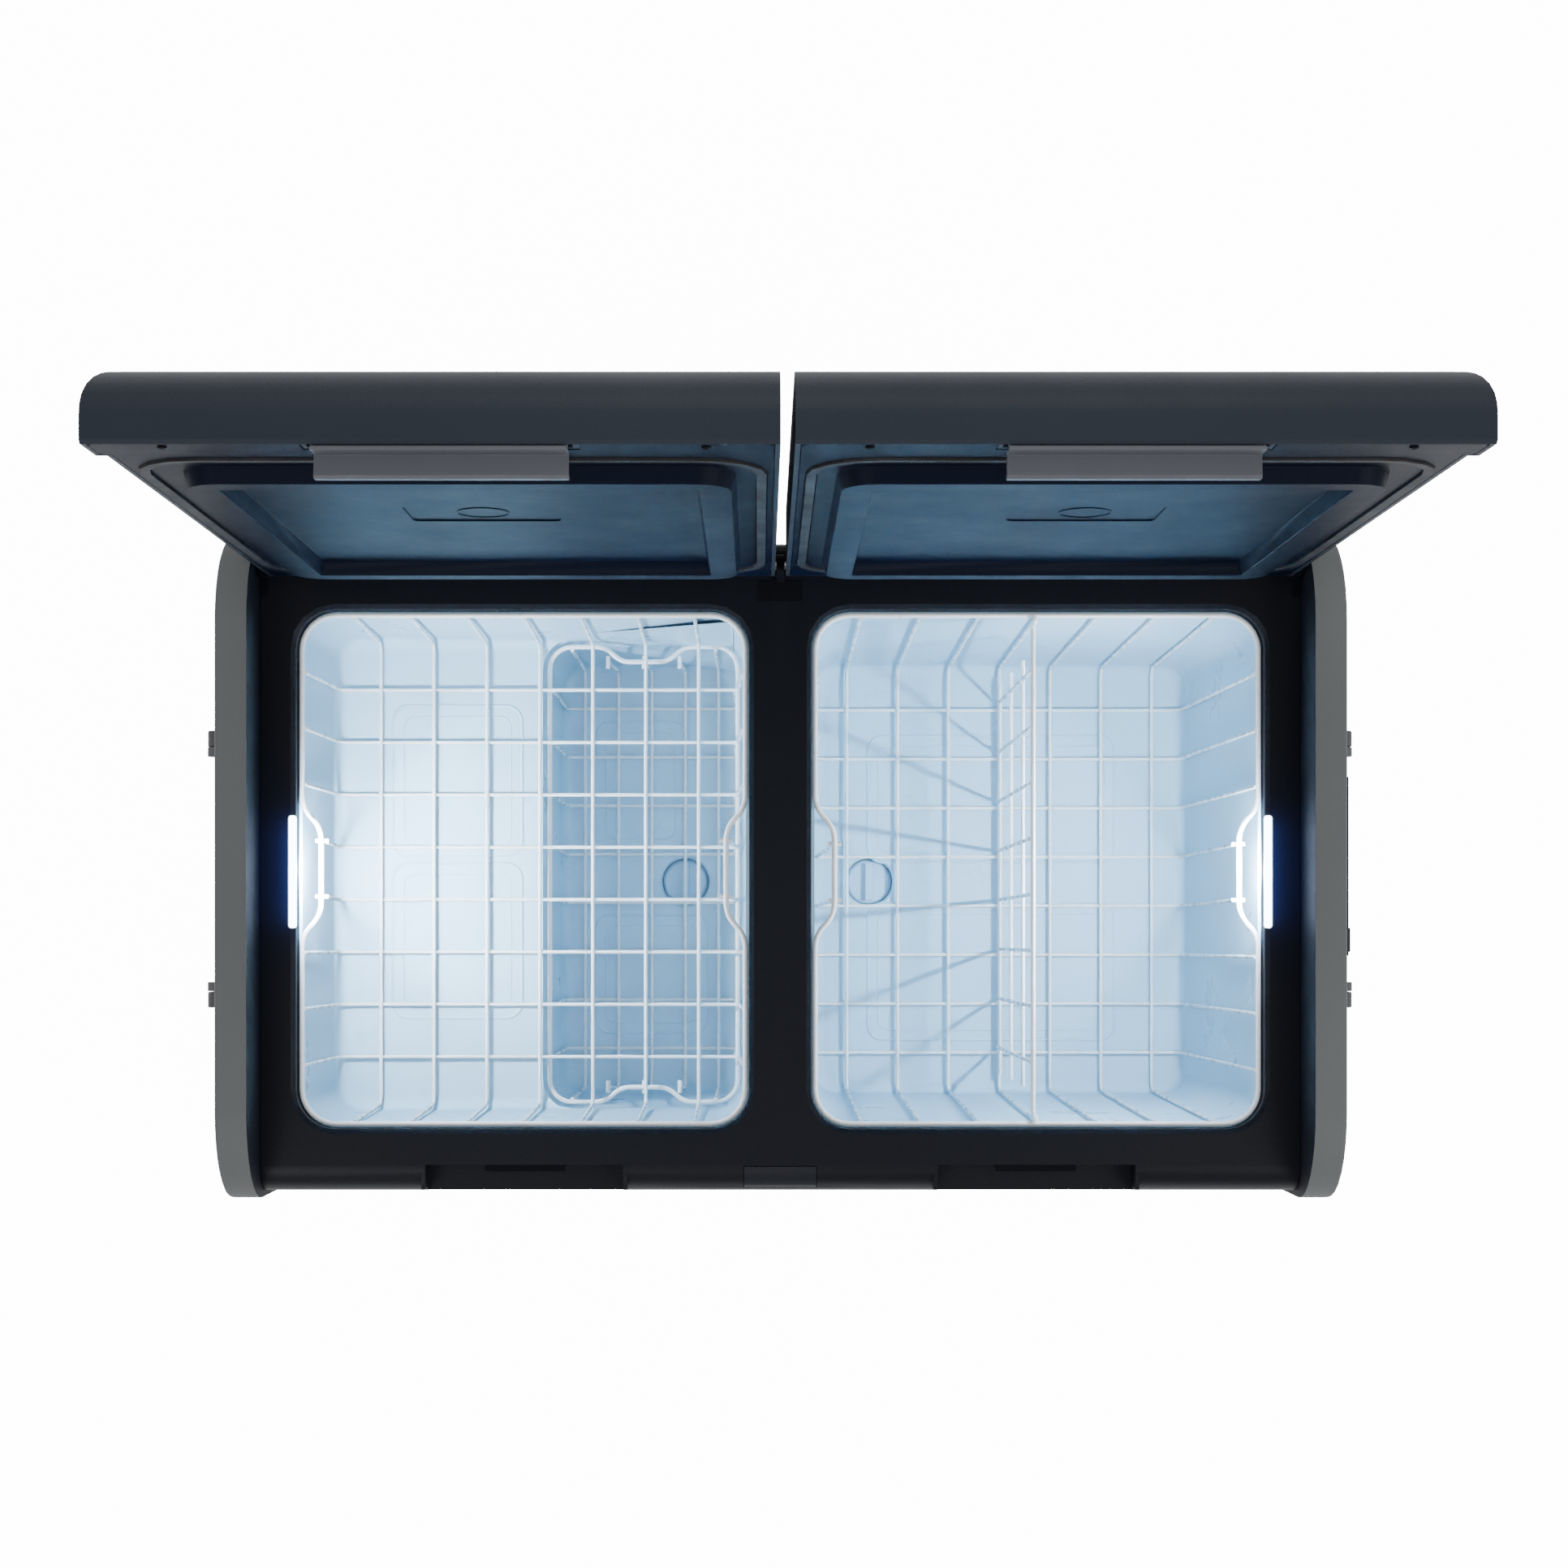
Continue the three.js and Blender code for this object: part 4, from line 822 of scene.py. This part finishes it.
def digits(text, y, z, height):
    """Lit seven-segment figures on the face of the display window, read from outside the right end."""
    def build(bm):
        thick = height * 0.11
        for n, figure in enumerate(text):
            middle = y + n * height * 0.78
            for key in LIT[figure]:
                across, up, upright = SEGMENTS[key]
                cy = middle + across * height * 0.25
                cz = z + up * height * (0.25 if upright else 0.5) - (height * 0.25 if key in "ce" else 0)
                long_y, long_z = (thick, height * 0.4) if upright else (height * 0.4, thick)
                shape = bmesh.ops.create_cube(bm, size=1)["verts"]
                bmesh.ops.scale(bm, vec=(0.2, long_y, long_z), verts=shape)
                bmesh.ops.translate(bm, vec=(WINDOW_FACE, cy, cz), verts=shape)
    return build


FINISH["lit_digits"] = glowing("lit_digits", (0.75, 0.9, 1.0), 5.0)
from_loops("display_digits_upper", "lit_digits", "body", "window", digits("4", 18, 446, 11))
from_loops("display_digits_lower", "lit_digits", "body", "window", digits("-18", 12, 429.5, 11))


# ---------------------------------------------------------------- stage, lights and camera

FLOOR_SIZE, FLOOR_SEEN, FLOOR_GLOW = 120, 14, 0.5
SOFT_BLUE, DEEP_BLUE = (0.80, 0.90, 1.0), (0.1, 0.2, 1.0)
RIM_HEIGHT, CAMERA_HEIGHT = 0.425, 1.777


def floor():
    material, tree, shader = new_material("pale_floor")
    tree.links.new(blend_colours(tree, noise(tree, 3, 3, 0.5), (0.90, 0.90, 0.90), (0.93, 0.93, 0.93)),
                   shader.inputs["Base Color"])
    shader.inputs["Roughness"].default_value = 0.9
    shader.inputs["Emission Color"].default_value = (1, 1, 1, 1)
    seen = add(tree, "ShaderNodeLightPath")
    tree.links.new(spread(tree, seen.outputs["Is Camera Ray"], 0, 1, FLOOR_GLOW, FLOOR_SEEN),
                   shader.inputs["Emission Strength"])
    bpy.ops.mesh.primitive_plane_add(size=FLOOR_SIZE, location=(0, 0, 0))
    plane = bpy.context.active_object
    plane.name = "studio_floor"
    plane.data.materials.append(material)


def area_light(name, place_at, look_at, size, power, colour=(1, 1, 1), size_y=None):
    light = bpy.data.lights.new(name, "AREA")
    light.energy, light.color, light.size = power, colour, size
    if size_y:
        light.shape, light.size_y = "RECTANGLE", size_y
    holder = bpy.data.objects.new(name, light)
    bpy.context.scene.collection.objects.link(holder)
    holder.location = place_at
    holder.rotation_mode = "QUATERNION"
    holder.rotation_quaternion = (Vector(look_at) - Vector(place_at)).to_track_quat("-Z", "Y")
    holder.visible_camera = False
    return holder


def lighting():
    world = bpy.data.worlds.new("studio")
    bpy.context.scene.world = world
    world.use_nodes = True
    sky = world.node_tree.nodes["Background"]
    sky.inputs["Color"].default_value = (0.93, 0.95, 1.0, 1)
    sky.inputs["Strength"].default_value = 0.35
    area_light("key", (-1.4, -1.6, 2.6), (0, 0, 0.4), 1.6, 26)
    area_light("fill", (1.9, -1.0, 2.3), (0, 0, 0.4), 1.8, 30)
    area_light("back", (0.2, 2.4, 2.4), (0, 0, 0.5), 1.8, 26)
    overhead = area_light("overhead", (0, -0.1, 3.0), (0, 0, 0.4), 0.7, 15)
    overhead.visible_glossy = False
    for word, side in SIDES:
        low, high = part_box(f"led_lens_{word}")
        centre = (low + high) / 2
        at = (centre.x - side * 0.005, centre.y, centre.z + 0.004)
        aim = (at[0] - side * 0.2, at[1], at[2] - 0.14)
        lamp = area_light(f"compartment_light_{word}", at, aim, 0.006, 6.0, SOFT_BLUE, 0.08)
        lamp.visible_glossy = False
        above = (centre.x, centre.y, high.z + 0.02)
        area_light(f"halo_{word}", above, centre, 0.012, 0.05, DEEP_BLUE, 0.075)


def camera():
    lens = bpy.data.cameras.new("camera")
    lens.lens, lens.sensor_width = 54.6, 36
    lens.shift_x, lens.shift_y = 0.016, 0.100
    lens.clip_end = 30
    holder = bpy.data.objects.new("camera", lens)
    bpy.context.scene.collection.objects.link(holder)
    holder.location = (-0.016, -0.0546 + MID_Y, RIM_HEIGHT + CAMERA_HEIGHT)
    bpy.context.scene.camera = holder


floor()
lighting()
camera()
